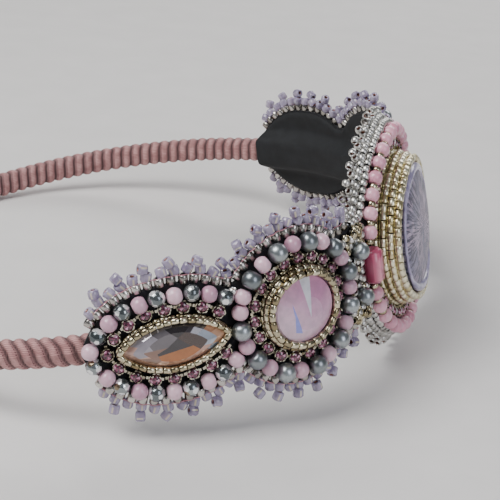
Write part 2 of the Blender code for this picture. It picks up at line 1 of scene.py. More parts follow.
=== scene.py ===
# %% [markdown]
# # A beaded headband, sewn bead by bead
# The real thing is an Alice band wound in pink grosgrain ribbon, and on it sits a felt
# panel of five lobes. Every bead, cup and stone is sewn to that felt by hand.
# The frame already holds the plain solids of the part, in metres. This lesson dresses
# them: each solid is replaced by the beads, stones or cloth that it stands for.
# The layout of the panel is worked out once, on the flat, and everything is placed by it.

# %% Open the frame
import json
from math import atan2, cos, hypot, pi, radians, sin, sqrt

import bmesh
import bpy
import numpy as np
from mathutils import Euler, Matrix, Vector


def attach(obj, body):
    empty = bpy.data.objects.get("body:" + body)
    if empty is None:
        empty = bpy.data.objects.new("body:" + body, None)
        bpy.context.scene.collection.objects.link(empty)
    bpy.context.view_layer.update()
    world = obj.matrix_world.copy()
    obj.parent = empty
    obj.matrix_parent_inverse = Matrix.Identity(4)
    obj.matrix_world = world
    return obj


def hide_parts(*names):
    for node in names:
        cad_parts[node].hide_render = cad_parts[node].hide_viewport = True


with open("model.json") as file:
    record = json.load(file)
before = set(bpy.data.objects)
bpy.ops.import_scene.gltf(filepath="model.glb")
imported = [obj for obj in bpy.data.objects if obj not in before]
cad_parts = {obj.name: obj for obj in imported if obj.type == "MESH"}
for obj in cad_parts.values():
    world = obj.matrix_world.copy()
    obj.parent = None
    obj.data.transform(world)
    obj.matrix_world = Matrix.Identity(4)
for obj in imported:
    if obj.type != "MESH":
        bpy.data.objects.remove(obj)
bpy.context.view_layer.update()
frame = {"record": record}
bpy.ops.object.select_all(action="DESELECT")
MM = 0.001

# %% [markdown]
# ## The layout of the panel
# A bead worker draws the five lobes flat on felt, so the layout is flat too: s runs along
# the hoop from its crown, t across the band, and h stands out of the felt. The hoop is a
# chain of arcs, and bending the layout round them gives the real place of each bead.
# The headband lies on its side, and the record's crown mount tells how far it is tipped.

# %% Bend the flat layout round the hoop
# Radius and length of each arc, from the crown to a tip
ARCS = ((150 * MM, 28 * MM), (55 * MM, 34.5 * MM), (100 * MM, 41.5 * MM), (80 * MM, 110 * MM))
HALF_LENGTH = sum(length for radius, length in ARCS)
# How far the lining's crest, where the crown mount is, lies behind the felt's face
CREST_DEPTH = 7.134 * MM


def face_line(s):
    """Point and outward direction of the felt's face at the distance s from the crown."""
    x, y, turn, left = 0.0, 0.0, 0.0, abs(s)
    for number, (radius, length) in enumerate(ARCS):
        run = left if number == len(ARCS) - 1 else min(left, length)
        end = turn + run / radius
        x += radius * (cos(end) - cos(turn))
        y += radius * (sin(end) - sin(turn))
        turn = end
        left -= run
        if left <= 0:
            break
    side = -1.0 if s < 0 else 1.0
    return x, side * y, cos(turn), side * sin(turn)


crown = next(mount for mount in frame["record"]["mounts"] if mount["name"] == "crown_rest")
TIPPED = atan2(crown["axis"][2], -crown["axis"][0])
LYING = (Matrix.Translation(crown["pos_m"]) @ Matrix.Rotation(TIPPED, 4, "Y")
         @ Matrix.Translation((CREST_DEPTH, 0.0, 0.0)))


def on_panel(s, t, h):
    """A point of the flat layout, bent round the hoop and laid down with it."""
    x, y, out_x, out_y = face_line(s)
    return LYING @ Vector((x + h * out_x, y + h * out_y, t))


def seat(s, t, h, turn=0.0):
    """Where a bead is sewn: X along the hoop, Y across it, Z out of the felt, turned about Z."""
    x, y, out_x, out_y = face_line(s)
    axes = Matrix(((-out_y, 0.0, out_x), (out_x, 0.0, out_y), (0.0, 1.0, 0.0))).to_4x4()
    place = Matrix.Translation((x + h * out_x, y + h * out_y, t))
    return LYING @ place @ axes @ Matrix.Rotation(turn, 4, "Z")


print("tipped by", round(np.degrees(TIPPED), 2), "degrees")

# %% [markdown]
# ## The lobes
# The panel is a round medallion, two smaller rounds and two marquise lobes, and bead rings
# follow each of them. The sizes are those of the solids. A marquise is drawn as a power
# curve, full in the middle and pointed at the tips.

# %% Measure the lobes
# Where each lobe's middle lies along the hoop, and how wide the line of its bead ring is
MEDALLION_RING = 26.8 * MM
ROUND_PLACE, ROUND_RING = 55 * MM, 16.4 * MM
NAVETTE_PLACE = 87.5 * MM
NAVETTE_RING = (20 * MM, 12.1 * MM)
# Power and fullness of a marquise: the larger the power, the fuller its sides
NAVETTE_SHAPE = (2.4, 0.75)
STONE_SHAPE = (2.1, 0.88)
FELT_MARGIN = 1.6 * MM
INNER_NECK, OUTER_NECK = 12.5 * MM, 10 * MM
HOOP_WIDTH = 7.0 * MM
HOOP_THICKNESS = 3.8 * MM
FELT_THICKNESS = 1.5 * MM
HOOP_DEPTH = 3.7 * MM
NECK = (MEDALLION_RING + ROUND_PLACE - ROUND_RING) / 2
SIDES = ((-1, "right"), (1, "left"))
LEVELS = ((1, "upper"), (-1, "lower"))


def marquise(half, shape, turn):
    """Point of a marquise outline at the angle turn from its tip."""
    power, fullness = shape
    across = max(0.0, 1.0 - abs(cos(turn)) ** power) ** fullness
    return half[0] * cos(turn), (1.0 if sin(turn) >= 0 else -1.0) * half[1] * across


def marquise_line(half, shape, middle, points=240):
    """Points along a marquise round a place on the hoop."""
    turns = [2 * pi * i / points for i in range(points)]
    return [(middle + x, y) for x, y in (marquise(half, shape, turn) for turn in turns)]


def round_line(radius, middle, points=180):
    """Points along a circle round a place on the hoop."""
    turns = [2 * pi * i / points for i in range(points)]
    return [(middle + radius * cos(turn), radius * sin(turn)) for turn in turns]


print("neck at", round(1000 * NECK, 1), "mm")

# %% [markdown]
# ## Following the lobes
# One function gives the half width of the whole panel at any s, so a border can follow all
# the lobes and the necks between them. Another walks a line in even steps, which is how
# beads sit on a thread.

# %% Helpers that follow the lobes
# A line's direction is read over this much of it on each side
LOOK_AHEAD = 0.4 * MM


def lobe_reach(s, margin):
    """Half width of the panel at s when every lobe's ring line is grown by a margin."""
    s = abs(s)
    reach = 0.0
    for middle, radius in ((0.0, MEDALLION_RING + margin), (ROUND_PLACE, ROUND_RING + margin)):
        if abs(s - middle) < radius:
            reach = max(reach, sqrt(radius ** 2 - (s - middle) ** 2))
    share = abs(s - NAVETTE_PLACE) / (NAVETTE_RING[0] + margin)
    if share < 1.0:
        power, fullness = NAVETTE_SHAPE
        reach = max(reach, (NAVETTE_RING[1] + margin) * (1 - share ** power) ** fullness)
    if s <= ROUND_PLACE:
        reach = max(reach, INNER_NECK + margin - FELT_MARGIN)
    elif s <= NAVETTE_PLACE:
        reach = max(reach, OUTER_NECK + margin - FELT_MARGIN)
    return reach


def lobe_end(half, margin):
    """Distance along the hoop at which the last lobe, grown by a margin, narrows to a half width."""
    power, fullness = NAVETTE_SHAPE
    width = half / (NAVETTE_RING[1] + margin)
    return NAVETTE_PLACE + (1 - width ** (1 / fullness)) ** (1 / power) * (NAVETTE_RING[0] + margin)


def edge_line(start, end, margin, up=1, samples=900):
    """The panel's edge, grown by a margin, from start to end along the hoop."""
    places = np.linspace(start, end, samples)
    return [(s, up * lobe_reach(s, margin)) for s in places]


def walk(points, pitch, closed=True, shift=0.5, count=None):
    """Even steps along a line, the first of them shift steps from its start.

    Each step is its s, its t and the line's direction there. The pitch is stretched a little
    so that the steps come out even, unless their count is given.
    """
    line = np.array(points + points[:1] if closed else points)
    run = np.concatenate(([0.0], np.cumsum(np.hypot(*np.diff(line, axis=0).T))))
    if count is None:
        count = max(1, int(round(run[-1] / pitch)))
    steps = []
    for i in range(count):
        at = (i + shift) * run[-1] / count
        near = [at - LOOK_AHEAD, at, at + LOOK_AHEAD]
        if closed:
            near = [d % run[-1] for d in near]
        s = np.interp(near, run, line[:, 0])
        t = np.interp(near, run, line[:, 1])
        steps.append((float(s[1]), float(t[1]), atan2(t[2] - t[0], s[2] - s[0])))
    return steps


NOTCH = ROUND_PLACE + sqrt((ROUND_RING + FELT_MARGIN) ** 2 - OUTER_NECK ** 2) + 0.8 * MM
EDGING_END = lobe_end(HOOP_WIDTH / 2 + 1.0 * MM, FELT_MARGIN)
print("panel ends at", round(1000 * EDGING_END, 1), "mm of", round(1000 * HALF_LENGTH, 1))

# %% [markdown]
# ## Finishes
# Real beads differ a little from one to the next, so every finish reads a number called
# tint that is stored on each bead, and mixes two close colours by it. The bead's own
# coordinates are stored too, so a finish can paint one side of a bead, such as the bright
# line of a silver-lined hole. Colours are noted as on a paint card and made linear once.
# A pattern's size is given as spots to a millimetre, so it can be checked against a bead.

# %% Helpers for every finish
def linear(code):
    """A colour code such as C9A09E as the linear values that Blender mixes."""
    shades = [int(code[i:i + 2], 16) / 255 for i in (0, 2, 4)]
    return tuple(c / 12.92 if c <= 0.04045 else ((c + 0.055) / 1.055) ** 2.4 for c in shades) + (1.0,)


def add(material, kind, inputs=None, **settings):
    """Add a node and give its outputs. An input is a number, a colour, or the output that feeds it."""
    node = material.node_tree.nodes.new(kind)
    for name, value in settings.items():
        setattr(node, name, value)
    for name, value in (inputs or {}).items():
        if isinstance(value, bpy.types.NodeSocket):
            material.node_tree.links.new(value, node.inputs[name])
        else:
            node.inputs[name].default_value = value
    return node.outputs


def new_finish(name, roughness, metallic=0.0, **constants):
    """An empty finish, with the numbers that are the same all over set on its shader."""
    material = bpy.data.materials.new(name)
    material.use_nodes = True
    shader = material.node_tree.nodes["Principled BSDF"]
    shader.inputs["Roughness"].default_value = roughness
    shader.inputs["Metallic"].default_value = metallic
    for socket, value in constants.items():
        shader.inputs[socket.replace("_", " ")].default_value = value
    return material


def show(material, colour, height=None, strength=0.0, depth=0.0):
    """Lead a colour into the finish's shader, and a pattern that stands depth high as relief."""
    shader = material.node_tree.nodes["Principled BSDF"]
    material.node_tree.links.new(colour, shader.inputs["Base Color"])
    if height is not None:
        bump = add(material, "ShaderNodeBump", {"Strength": strength, "Distance": depth, "Height": height})
        material.node_tree.links.new(bump["Normal"], shader.inputs["Normal"])


def own_place(material):
    """The bead's own coordinates, hole along X, as three outputs."""
    own = add(material, "ShaderNodeAttribute", attribute_name="own")["Vector"]
    return add(material, "ShaderNodeSeparateXYZ", {0: own})


def grain(material, per_mm, detail=3.0):
    """Fine unevenness of the object, with so many spots to a millimetre."""
    place = add(material, "ShaderNodeTexCoord")["Object"]
    spots = {"Scale": per_mm / MM, "Detail": detail, "Vector": place}
    return add(material, "ShaderNodeTexNoise", spots)["Fac"]


def plain_bead(name, dark, light, roughness, metallic=0.0, wear=0.15, **constants):
    """A glass, plated or pearl finish that differs from bead to bead and is a little uneven."""
    material = new_finish(name, roughness, metallic, **constants)
    tint = add(material, "ShaderNodeAttribute", attribute_name="tint")["Fac"]
    shade = add(material, "ShaderNodeMix", {0: tint, 6: linear(dark), 7: linear(light)}, data_type="RGBA")[2]
    spots = add(material, "ShaderNodeMapRange", {0: grain(material, 1.4), 1: 0.35, 2: 0.75},
                interpolation_type="SMOOTHSTEP")[0]
    faded = add(material, "ShaderNodeMix", {0: spots, 6: shade, 7: linear(dark)}, data_type="RGBA")[2]
    blend = add(material, "ShaderNodeMath", {0: spots, 1: wear}, operation="MULTIPLY")[0]
    worn = add(material, "ShaderNodeMix", {0: blend, 6: shade, 7: faded}, data_type="RGBA")[2]
    show(material, worn, grain(material, 2.6), 0.15, 0.04 * MM)
    return material


print("finishes are ready to be mixed")

# %% [markdown]
# ## What the beads are made of
# The pink rounds are satin glass that light enters a little way, so they get subsurface
# scatter. The greys are glass pearls, a nacre coat over a bead. The stones of the cup chain
# are cut glass with foil behind, and a small stone's facets are painted in a few shades of one
# colour, lit, mid and in shade, as painted reflections.

# %% Mix the glass and pearl finishes
# Etched glass: soft to the eye, because light goes in and comes back out nearby
SATIN = {"Subsurface_Weight": 0.3, "Subsurface_Scale": 0.6, "Coat_Weight": 0.55, "Coat_Roughness": 0.2}
satin_pink = plain_bead("satin_pink_glass", "BC8EA3", "E2BCC9", 0.32,
                        Subsurface_Radius=(0.002, 0.0012, 0.0012), **SATIN)
deep_pink = plain_bead("satin_rose_pink_glass", "CE8A9F", "EBB2C2", 0.32,
                       Subsurface_Radius=(0.002, 0.0011, 0.0011), **SATIN)
# Pearl essence over glass: a grey metallic glow under a clear coat
grey_pearl = plain_bead("grey_glass_pearl", "72797C", "AAB0B2", 0.34, 0.9, 0.5,
                        Coat_Weight=0.5, Coat_Roughness=0.1)
# Small cut glass stones with foil behind: a painted-shade copy, a mid one, and a painted-lit copy for a facet
# or two that lights up
painted_shade_stone = plain_bead("amethyst_facet_painted_shade", "2C0F1B", "481D2F", 0.05, 0.25, 0.1, Coat_Weight=1.0)
rose_stone = plain_bead("amethyst_facet", "692F45", "8C4A63", 0.05, 0.2, 0.1, Coat_Weight=1.0)
painted_lit_stone = plain_bead("amethyst_facet_painted_lit", "B86C8E", "EBB4CD", 0.05, 0.15, 0.1, Coat_Weight=1.0)
# The inside of a hole: copper lining where it shows warm, and else a near-black finish that is painted shade
copper_hole = plain_bead("copper_lined_hole", "70483A", "95685A", 0.35, 0.8)
painted_shade_hole = plain_bead("painted_shade_hole", "0C0B0C", "1A1718", 0.6)
print("glass finishes:", len(bpy.data.materials))

# %% [markdown]
# ## Plated beads
# The small metal beads are glass with a thin plating, so their shine is that of metal with a
# touch of wear. The faceted ones are ground from glass and half plated, and each way that a
# facet can face has a colour of its own: a painted highlight, grey, painted shade or bronze.

# %% Mix the plated finishes
# Silver and pale gold plating over glass: bright metal, a little worn on the high places
silver_plate = plain_bead("silver_plated_tube_bead", "8B8680", "DDD8D1", 0.26, 1.0, 0.35)
soft_silver = plain_bead("silver_plated_seed", "B4B2AC", "E4E2DD", 0.34, 1.0, 0.25)
gold_plate = plain_bead("pale_gold_plated_seed", "887A5B", "E8DFC0", 0.22, 1.0, 0.45)
# The medallion wall's copy of the pale gold plating is lighter: painted light on the wall's face
painted_lit_gold = plain_bead("pale_gold_plate_painted_lit", "CBBE90", "FCF6DC", 0.28, 1.0, 0.25)
warm_plate = plain_bead("champagne_cup_metal", "9C9480", "DAD4C2", 0.25, 1.0, 0.4)
# Half-plated faceted glass: painted reflections of what a facet mirrors, lit, grey and in shade, and the
# bronze of the plated side
painted_lit_facet = plain_bead("silver_facet_painted_lit", "F2F3F2", "FCFDFC", 0.12, 0.6, 0.1)
facet_grey = plain_bead("silver_facet", "8C9293", "AEB3B3", 0.18, 0.8, 0.2)
painted_shade_facet = plain_bead("silver_facet_painted_shade", "585F61", "787E80", 0.18, 0.8, 0.2)
facet_bronze = plain_bead("bronze_facet", "80705A", "A5947A", 0.18, 0.8, 0.2)
print("with plated finishes:", len(bpy.data.materials))

# %% [markdown]
# ## Two finishes that differ from side to side
# The lilac beads are opal glass with a silver-lined hole: light gathers in a cream line
# along the hole, and that line is painted by the bead's own coordinates, since it belongs
# to one side. The rose tube is pressed glass that was ground at its ends and edges; its
# middle is painted lighter as a glow and its edges darker as painted shade.

# %% Mix the opal and the frosted rose
def lined_opal(name, dark, light, glint):
    """Opal glass over a silver-lined hole: the lining shows as a painted cream glint along part of the hole,
    on one side.
    """
    material = new_finish(name, 0.16, Subsurface_Weight=0.5, Subsurface_Scale=0.5,
                          Subsurface_Radius=(0.0013, 0.0011, 0.0016), Coat_Weight=0.6,
                          Coat_Roughness=0.08, Transmission_Weight=0.45, IOR=1.5)
    tint = add(material, "ShaderNodeAttribute", attribute_name="tint")["Fac"]
    shade = add(material, "ShaderNodeMix", {0: tint, 6: linear(dark), 7: linear(light)}, data_type="RGBA")[2]
    x, y, z = own_place(material)
    side, along = [add(material, "ShaderNodeMath", {0: way}, operation="ABSOLUTE")[0] for way in (y, x)]
    stretches = ((grain(material, 0.7), 0.3, 0.7), (side, 0.3 * MM, 0.14 * MM),
                 (along, 0.9 * MM, 0.6 * MM), (z, 0.4 * MM, 0.9 * MM))
    cloud, line, middle, front = [
        add(material, "ShaderNodeMapRange", {0: source, 1: low, 2: high}, interpolation_type="SMOOTHSTEP")[0]
        for source, low, high in stretches]
    # line, middle and front mask the painted glint: close to the hole's line, away from its ends, on the
    # bead's front
    inside = add(material, "ShaderNodeMath", {0: line, 1: middle}, operation="MULTIPLY")[0]
    cream = add(material, "ShaderNodeMath", {0: inside, 1: front}, operation="MULTIPLY")[0]
    milk = add(material, "ShaderNodeMix", {0: cloud, 6: shade, 7: linear(light)}, data_type="RGBA")[2]
    lined = add(material, "ShaderNodeMix", {0: cream, 6: milk, 7: linear(glint)}, data_type="RGBA")[2]
    show(material, lined, grain(material, 2.2), 0.1, 0.04 * MM)
    return material


def pressed_rose(name, deep, light):
    """Frosted rose glass, painted with a glow in its middle and with shade towards its ground edges."""
    material = new_finish(name, 0.3, Subsurface_Weight=0.4, Subsurface_Scale=0.8,
                          Subsurface_Radius=(0.003, 0.0012, 0.0014), Coat_Weight=0.4, Coat_Roughness=0.2)
    x, y, z = own_place(material)
    side = add(material, "ShaderNodeMath", {0: y}, operation="ABSOLUTE")[0]
    # edge paints shade that deepens the glass away from its middle
    stretches = ((grain(material, 0.26), 0.35, 0.65), (side, 0.8 * MM, 2.4 * MM))
    cloud, edge = [
        add(material, "ShaderNodeMapRange", {0: source, 1: low, 2: high}, interpolation_type="SMOOTHSTEP")[0]
        for source, low, high in stretches]
    haze = add(material, "ShaderNodeMix", {0: cloud, 6: linear(light), 7: linear(deep)}, data_type="RGBA")[2]
    body = add(material, "ShaderNodeMix", {0: cloud, 6: linear(light), 7: haze}, data_type="RGBA")[2]
    ground = add(material, "ShaderNodeMix", {0: edge, 6: body, 7: linear(deep)}, data_type="RGBA")[2]
    show(material, ground, grain(material, 1.8), 0.1, 0.05 * MM)
    return material


# The tube's glass, and a darker copy of it that paints shade on the tube's ends and every other side
rose_glass = pressed_rose("frosted_rose_glass", "C4607C", "F0A0B2")
painted_shade_rose = pressed_rose("rose_glass_painted_shade", "A94765", "D67D93")
lilac_opal = lined_opal("silver_lined_lilac_opal", "9488A9", "C9BED7", "FDEFD2")
print("bead finishes:", len(bpy.data.materials))

# %% [markdown]
# ## Modelling one bead of each kind
# A bead shop sells each kind by the thousand, so one of each is modelled and then copied.
# All of them have their hole along X, which is the way that the thread runs. A few small
# helpers do what a hand does in Blender: clear the bench, select faces, bevel, paint.

# %% Helpers to model with Blender's tools
def begin():
    """Nothing selected, so that an operator acts on the new piece alone."""
    if bpy.context.object and bpy.context.object.mode != "OBJECT":
        bpy.ops.object.mode_set(mode="OBJECT")
    bpy.ops.object.select_all(action="DESELECT")


def edit(mode="FACE"):
    """Enter edit mode, to pick faces or corners."""
    bpy.ops.object.mode_set(mode="EDIT")
    bpy.ops.mesh.select_mode(type=mode)


def done(turn=None):
    """Leave edit mode and settle the piece at the origin, after a last turn if one is given."""
    bpy.ops.object.mode_set(mode="OBJECT")
    piece = bpy.context.object
    if turn is not None:
        piece.rotation_euler = turn
    bpy.ops.object.transform_apply(location=True, rotation=True, scale=True)
    return piece


def pick(test):
    """In edit mode, select the faces whose centre and normal pass a test."""
    bpy.ops.mesh.select_all(action="DESELECT")
    mesh = bmesh.from_edit_mesh(bpy.context.object.data)
    for face in mesh.faces:
        face.select_set(bool(test(face.calc_center_median(), face.normal)))
    bmesh.update_edit_mesh(bpy.context.object.data)


def bevelled(piece, width, segments=1, angle=40):
    """Take the sharpness off every edge that turns by more than an angle."""
    bevel = piece.modifiers.new("edges", "BEVEL")
    bevel.width = width
    bevel.segments = segments
    bevel.limit_method = "ANGLE"
    bevel.angle_limit = radians(angle)
    bpy.context.view_layer.objects.active = piece
    bpy.ops.object.modifier_apply(modifier="edges")


def paint(piece, finishes, choose=None):
    """Give a piece its finishes, and each face the number of the one that it wears."""
    piece.data.materials.clear()
    for finish in finishes:
        piece.data.materials.append(finish)
    if choose is not None:
        for face in piece.data.polygons:
            face.material_index = choose(face.center, face.normal)


BEADS = {}


def keep_bead(name, piece, soft=True):
    """Store a modelled bead as plain arrays, ready to be sewn, and clear it from the bench."""
    mesh = piece.data
    corners = np.empty(3 * len(mesh.vertices))
    mesh.vertices.foreach_get("co", corners)
    BEADS[name] = {
        "corners": corners.reshape(-1, 3),
        "faces": [tuple(face.vertices) for face in mesh.polygons],
        "slots": [face.material_index for face in mesh.polygons],
        "soft": soft,
        "finishes": list(mesh.materials),
    }
    bpy.data.objects.remove(piece, do_unlink=True)
    print(name, len(BEADS[name]["faces"]), "faces")


# %% [markdown]
# ## Round seed beads
# A round seed bead is a doughnut, so it starts from a torus that is drawn out along its
# hole. The faces inside the hole wear the copper lining or the near-black painted shade.

# %% Model the round seed beads
def model_seed(name, width, length, hole, finish, lining):
    """A doughnut of a width and a hole, drawn out to a length along the hole."""
    thick = (width - hole) / 2
    begin()
    bpy.ops.mesh.primitive_torus_add(major_segments=12, minor_segments=8,
                                     major_radius=(width + hole) / 4, minor_radius=thick / 2)
    edit()
    bpy.ops.mesh.select_all(action="SELECT")
    bpy.ops.transform.resize(value=(1.0, 1.0, length / thick))
    piece = done((0.0, pi / 2, 0.0))
    paint(piece, (finish, lining), lambda at, out: int(hypot(at.y, at.z) < 0.25 * width))
    keep_bead(name, piece)


model_seed("silver seed", 2.2 * MM, 1.7 * MM, 0.8 * MM, soft_silver, copper_hole)
# This seed's hole wears painted shade, not a copper lining
model_seed("silver dark seed", 2.15 * MM, 1.75 * MM, 0.7 * MM, soft_silver, painted_shade_hole)
model_seed("gold seed", 2.0 * MM, 1.6 * MM, 0.7 * MM, gold_plate, painted_shade_hole)


# %% [markdown]
# ## Cylinder beads
# A cylinder bead is cut from glass tube: a cylinder whose ends are inset and bridged to make
# the hole. The lilac seeds are made that way too, because they are cut from tube and only
# tumbled until their edges are soft, so they get a wide bevel.

# %% Model the cylinder beads
def model_cylinder(name, width, length, hole, finish, sides=10, edge=0.08, lining=painted_shade_hole):
    """A short tube whose edges are bevelled by a share of its width."""
    begin()
    bpy.ops.mesh.primitive_cylinder_add(vertices=sides, radius=width / 2, depth=length)
    edit()
    pick(lambda at, out: abs(out.z) > 0.9)
    bpy.ops.mesh.inset(thickness=(width - hole) / 2, use_individual=True)
    bpy.ops.mesh.bridge_edge_loops()
    piece = done()
    bevelled(piece, edge * width, 2 if edge > 0.1 else 1)
    piece = done((0.0, pi / 2, 0.0))
    paint(piece, (finish, lining), lambda at, out: int(hypot(at.y, at.z) < 0.62 * hole))
    keep_bead(name, piece)


model_cylinder("gold cylinder", 1.7 * MM, 1.75 * MM, 0.8 * MM, gold_plate, 10, 0.05)
model_cylinder("gold brick", 1.9 * MM, 2.0 * MM, 0.8 * MM, gold_plate, 10, 0.05)
model_cylinder("large gold cylinder", 2.1 * MM, 2.15 * MM, 0.8 * MM, painted_lit_gold, 10, 0.06)
model_cylinder("lilac seed", 2.75 * MM, 2.4 * MM, 0.9 * MM, lilac_opal, 10, 0.2, copper_hole)
model_cylinder("silver cylinder", 2.5 * MM, 2.2 * MM, 1.1 * MM, silver_plate, 12, 0.06)
model_cylinder("wide gold cylinder", 2.2 * MM, 1.3 * MM, 0.9 * MM, gold_plate, 12)

# %% [markdown]
# ## Rounds, pearls and faceted beads
# A round bead is a ball with a hole drilled through, and where it meets its neighbour the
# hole shows as a dimple, so the two end caps of a sphere are pushed in a little.
# A fire-polished bead is a ball ground flat all over. An icosphere with its corners bevelled
# off has just such five- and six-sided facets. Each is painted with what it would mirror, a
# highlight, grey or shade, and the bronze that covers one side of the bead shows in a few, so
# the facets wear four shades.

# %% Model the larger beads
def model_round(name, width, finish):
    """A ball whose two ends are pushed in for the hole."""
    begin()
    bpy.ops.mesh.primitive_uv_sphere_add(segments=16, ring_count=10, radius=width / 2)
    edit()
    pick(lambda at, out: abs(at.z) > 0.46 * width)
    bpy.ops.transform.resize(value=(1.0, 1.0, 0.86))
    piece = done((0.0, pi / 2, 0.0))
    # The faces round the hole's dimple wear painted shade
    paint(piece, (finish, painted_shade_hole), lambda at, out: int(hypot(at.y, at.z) < 0.1 * width))
    keep_bead(name, piece)


model_round("pink round", 4.2 * MM, satin_pink)
model_round("rose round", 4.1 * MM, deep_pink)
model_round("pearl", 5.0 * MM, grey_pearl)


def facet_reflection(at, out):
    """Which way a facet faces decides its painted reflection: highlight, grey, shade, or the bronze side."""
    spread = sin(2.9 * out.x + 5.3 * out.y + 7.1 * out.z + 0.6)
    return 0 if spread > 0.7 else 3 if spread < -0.985 else 2 if spread < -0.25 else 1


begin()
bpy.ops.mesh.primitive_ico_sphere_add(subdivisions=1, radius=2.45 * MM)
edit("VERT")
bpy.ops.mesh.select_all(action="SELECT")
bpy.ops.mesh.bevel(offset_type="PERCENT", offset_pct=31, affect="VERTICES")
polished = done((0.2, pi / 2, 0.0))
paint(polished, (painted_lit_facet, facet_grey, painted_shade_facet, facet_bronze), facet_reflection)
keep_bead("faceted silver", polished, soft=False)

# %% [markdown]
# ## Cup chain
# Cup chain is a row of small stones, each held by four prongs in a pressed metal cup, with
# short links between the cups. The cup is a cylinder hollowed from the top, the prongs are
# small posts that lean over the stone, and the stone is an eight-sided block whose top is
# raised, drawn in and poked, so that it has a ring of facets and a star on its table.

# %% Model one cup with its stone
CUP_FINISHES = (warm_plate, painted_shade_stone, rose_stone, painted_lit_stone)
CUP_RADIUS = 1.7 * MM
PRONG_LEAN = 0.36 * MM
# Which finish each of eight facets wears, round the table and round the crown: 1 is painted shade, 2 mid
# rose, 3 a painted highlight
TABLE_SHADES, CROWN_SHADES = (3, 1, 2, 1, 2, 2, 1, 2), (2, 1, 1, 2, 3, 1, 2, 1)


def stone_painted_light(at, out):
    """Paints a small stone's reflections: a facet or two painted lit, its sides and some facets painted in
    shade.
    """
    turn = int((atan2(at.y, at.x) + 2 * pi) / (pi / 4)) % 8
    if out.z > 0.9:
        return TABLE_SHADES[turn]
    return 1 if out.z < 0.2 else CROWN_SHADES[turn]


begin()
bpy.ops.mesh.primitive_cylinder_add(vertices=8, radius=CUP_RADIUS, depth=1.3 * MM,
                                    location=(0, 0, 0.65 * MM), rotation=(0, 0, pi / 8))
edit()
pick(lambda at, out: out.z > 0.9)
bpy.ops.mesh.inset(thickness=0.2 * MM)
bpy.ops.mesh.extrude_region_move(TRANSFORM_OT_translate={"value": (0, 0, -0.5 * MM)})
cup = done()
paint(cup, CUP_FINISHES)
parts = [cup]
for quarter in range(4):
    turn = pi / 4 + quarter * pi / 2
    begin()
    foot = (CUP_RADIUS * cos(turn), CUP_RADIUS * sin(turn), 1.0 * MM)
    bpy.ops.mesh.primitive_cube_add(size=1.0, location=foot, rotation=(0, 0, turn),
                                    scale=(0.42 * MM, 0.8 * MM, 2.0 * MM))
    edit()
    pick(lambda at, out: out.z > 0.9)
    bpy.ops.transform.resize(value=(0.75, 0.75, 1.0))
    bpy.ops.transform.translate(value=(-PRONG_LEAN * cos(turn), -PRONG_LEAN * sin(turn), 0.0))
    prong = done()
    paint(prong, CUP_FINISHES)
    parts.append(prong)
begin()
bpy.ops.mesh.primitive_cube_add(size=1.0, location=(0, 0, 0.35 * MM), scale=(4.3 * MM, 0.7 * MM, 0.4 * MM))
link = done()
paint(link, CUP_FINISHES)
parts.append(link)
begin()
bpy.ops.mesh.primitive_cylinder_add(vertices=8, radius=1.5 * MM, depth=0.7 * MM, location=(0, 0, 1.15 * MM))
edit()
pick(lambda at, out: out.z > 0.9)
bpy.ops.mesh.extrude_region_move(TRANSFORM_OT_translate={"value": (0, 0, 0.45 * MM)})
bpy.ops.transform.resize(value=(0.62, 0.62, 1.0))
bpy.ops.mesh.poke(offset=0.0)
stone = done()
paint(stone, CUP_FINISHES, stone_painted_light)
parts.append(stone)
begin()
for part in parts:
    part.select_set(True)
bpy.context.view_layer.objects.active = cup
bpy.ops.object.join()
keep_bead("cup", cup, soft=False)

# %% [markdown]
# ## The rose tube bead
# A pressed glass tube with eight ground sides lies in the medallion's ring on each side.
# It is an eight-sided cylinder with a hole, and a bevel takes the sharpness off its ends.
# The ground ends and every other side wear a darker copy of the glass, as painted shade, and the hole wears
# painted shade.

# %% Model the tube bead
begin()
bpy.ops.mesh.primitive_cylinder_add(vertices=8, radius=2.7 * MM, depth=9.2 * MM, rotation=(0, 0, pi / 8))
edit()
pick(lambda at, out: abs(out.z) > 0.9)
bpy.ops.mesh.inset(thickness=1.9 * MM, use_individual=True)
bpy.ops.mesh.bridge_edge_loops()
tube = done()
bevelled(tube, 0.8 * MM, 1, 50)
tube = done((0.0, pi / 2, 0.0))


def tube_painted_shade(at, out):
    """Ground ends and every other side wear the painted-shade copy of the glass; the hole wears painted shade
    too.
    """
    if hypot(at.y, at.z) < 0.9 * MM:
        return 2
    return int(abs(out.x) > 0.3 or int(atan2(out.z, out.y) / (pi / 4) + 8.5) % 2 == 0)


paint(tube, (rose_glass, painted_shade_rose, painted_shade_hole), tube_painted_shade)
keep_bead("rose tube", tube, soft=False)

# %% [markdown]
# ## Sewing
# Sewing copies a bead to each of its seats and joins all copies of a string into one mesh,
# with the bead's tint and own coordinates kept on its points. No two beads on a real
# thread sit quite straight, so each seat is shaken a little, by a seeded dice.

# %% The needle
dice = np.random.default_rng(31)


def shaken(place, degrees=5.0, shift=0.06 * MM, spin=0.7):
    """A seat moved and turned a little, and rolled about the thread."""
    lean = Euler([radians(a) for a in dice.normal(0.0, degrees, 3)]).to_matrix().to_4x4()
    nudge = Matrix.Translation(Vector(dice.normal(0.0, shift, 3)))
    roll = Matrix.Rotation(dice.uniform(-spin, spin), 4, "X")
    return place @ nudge @ lean @ roll


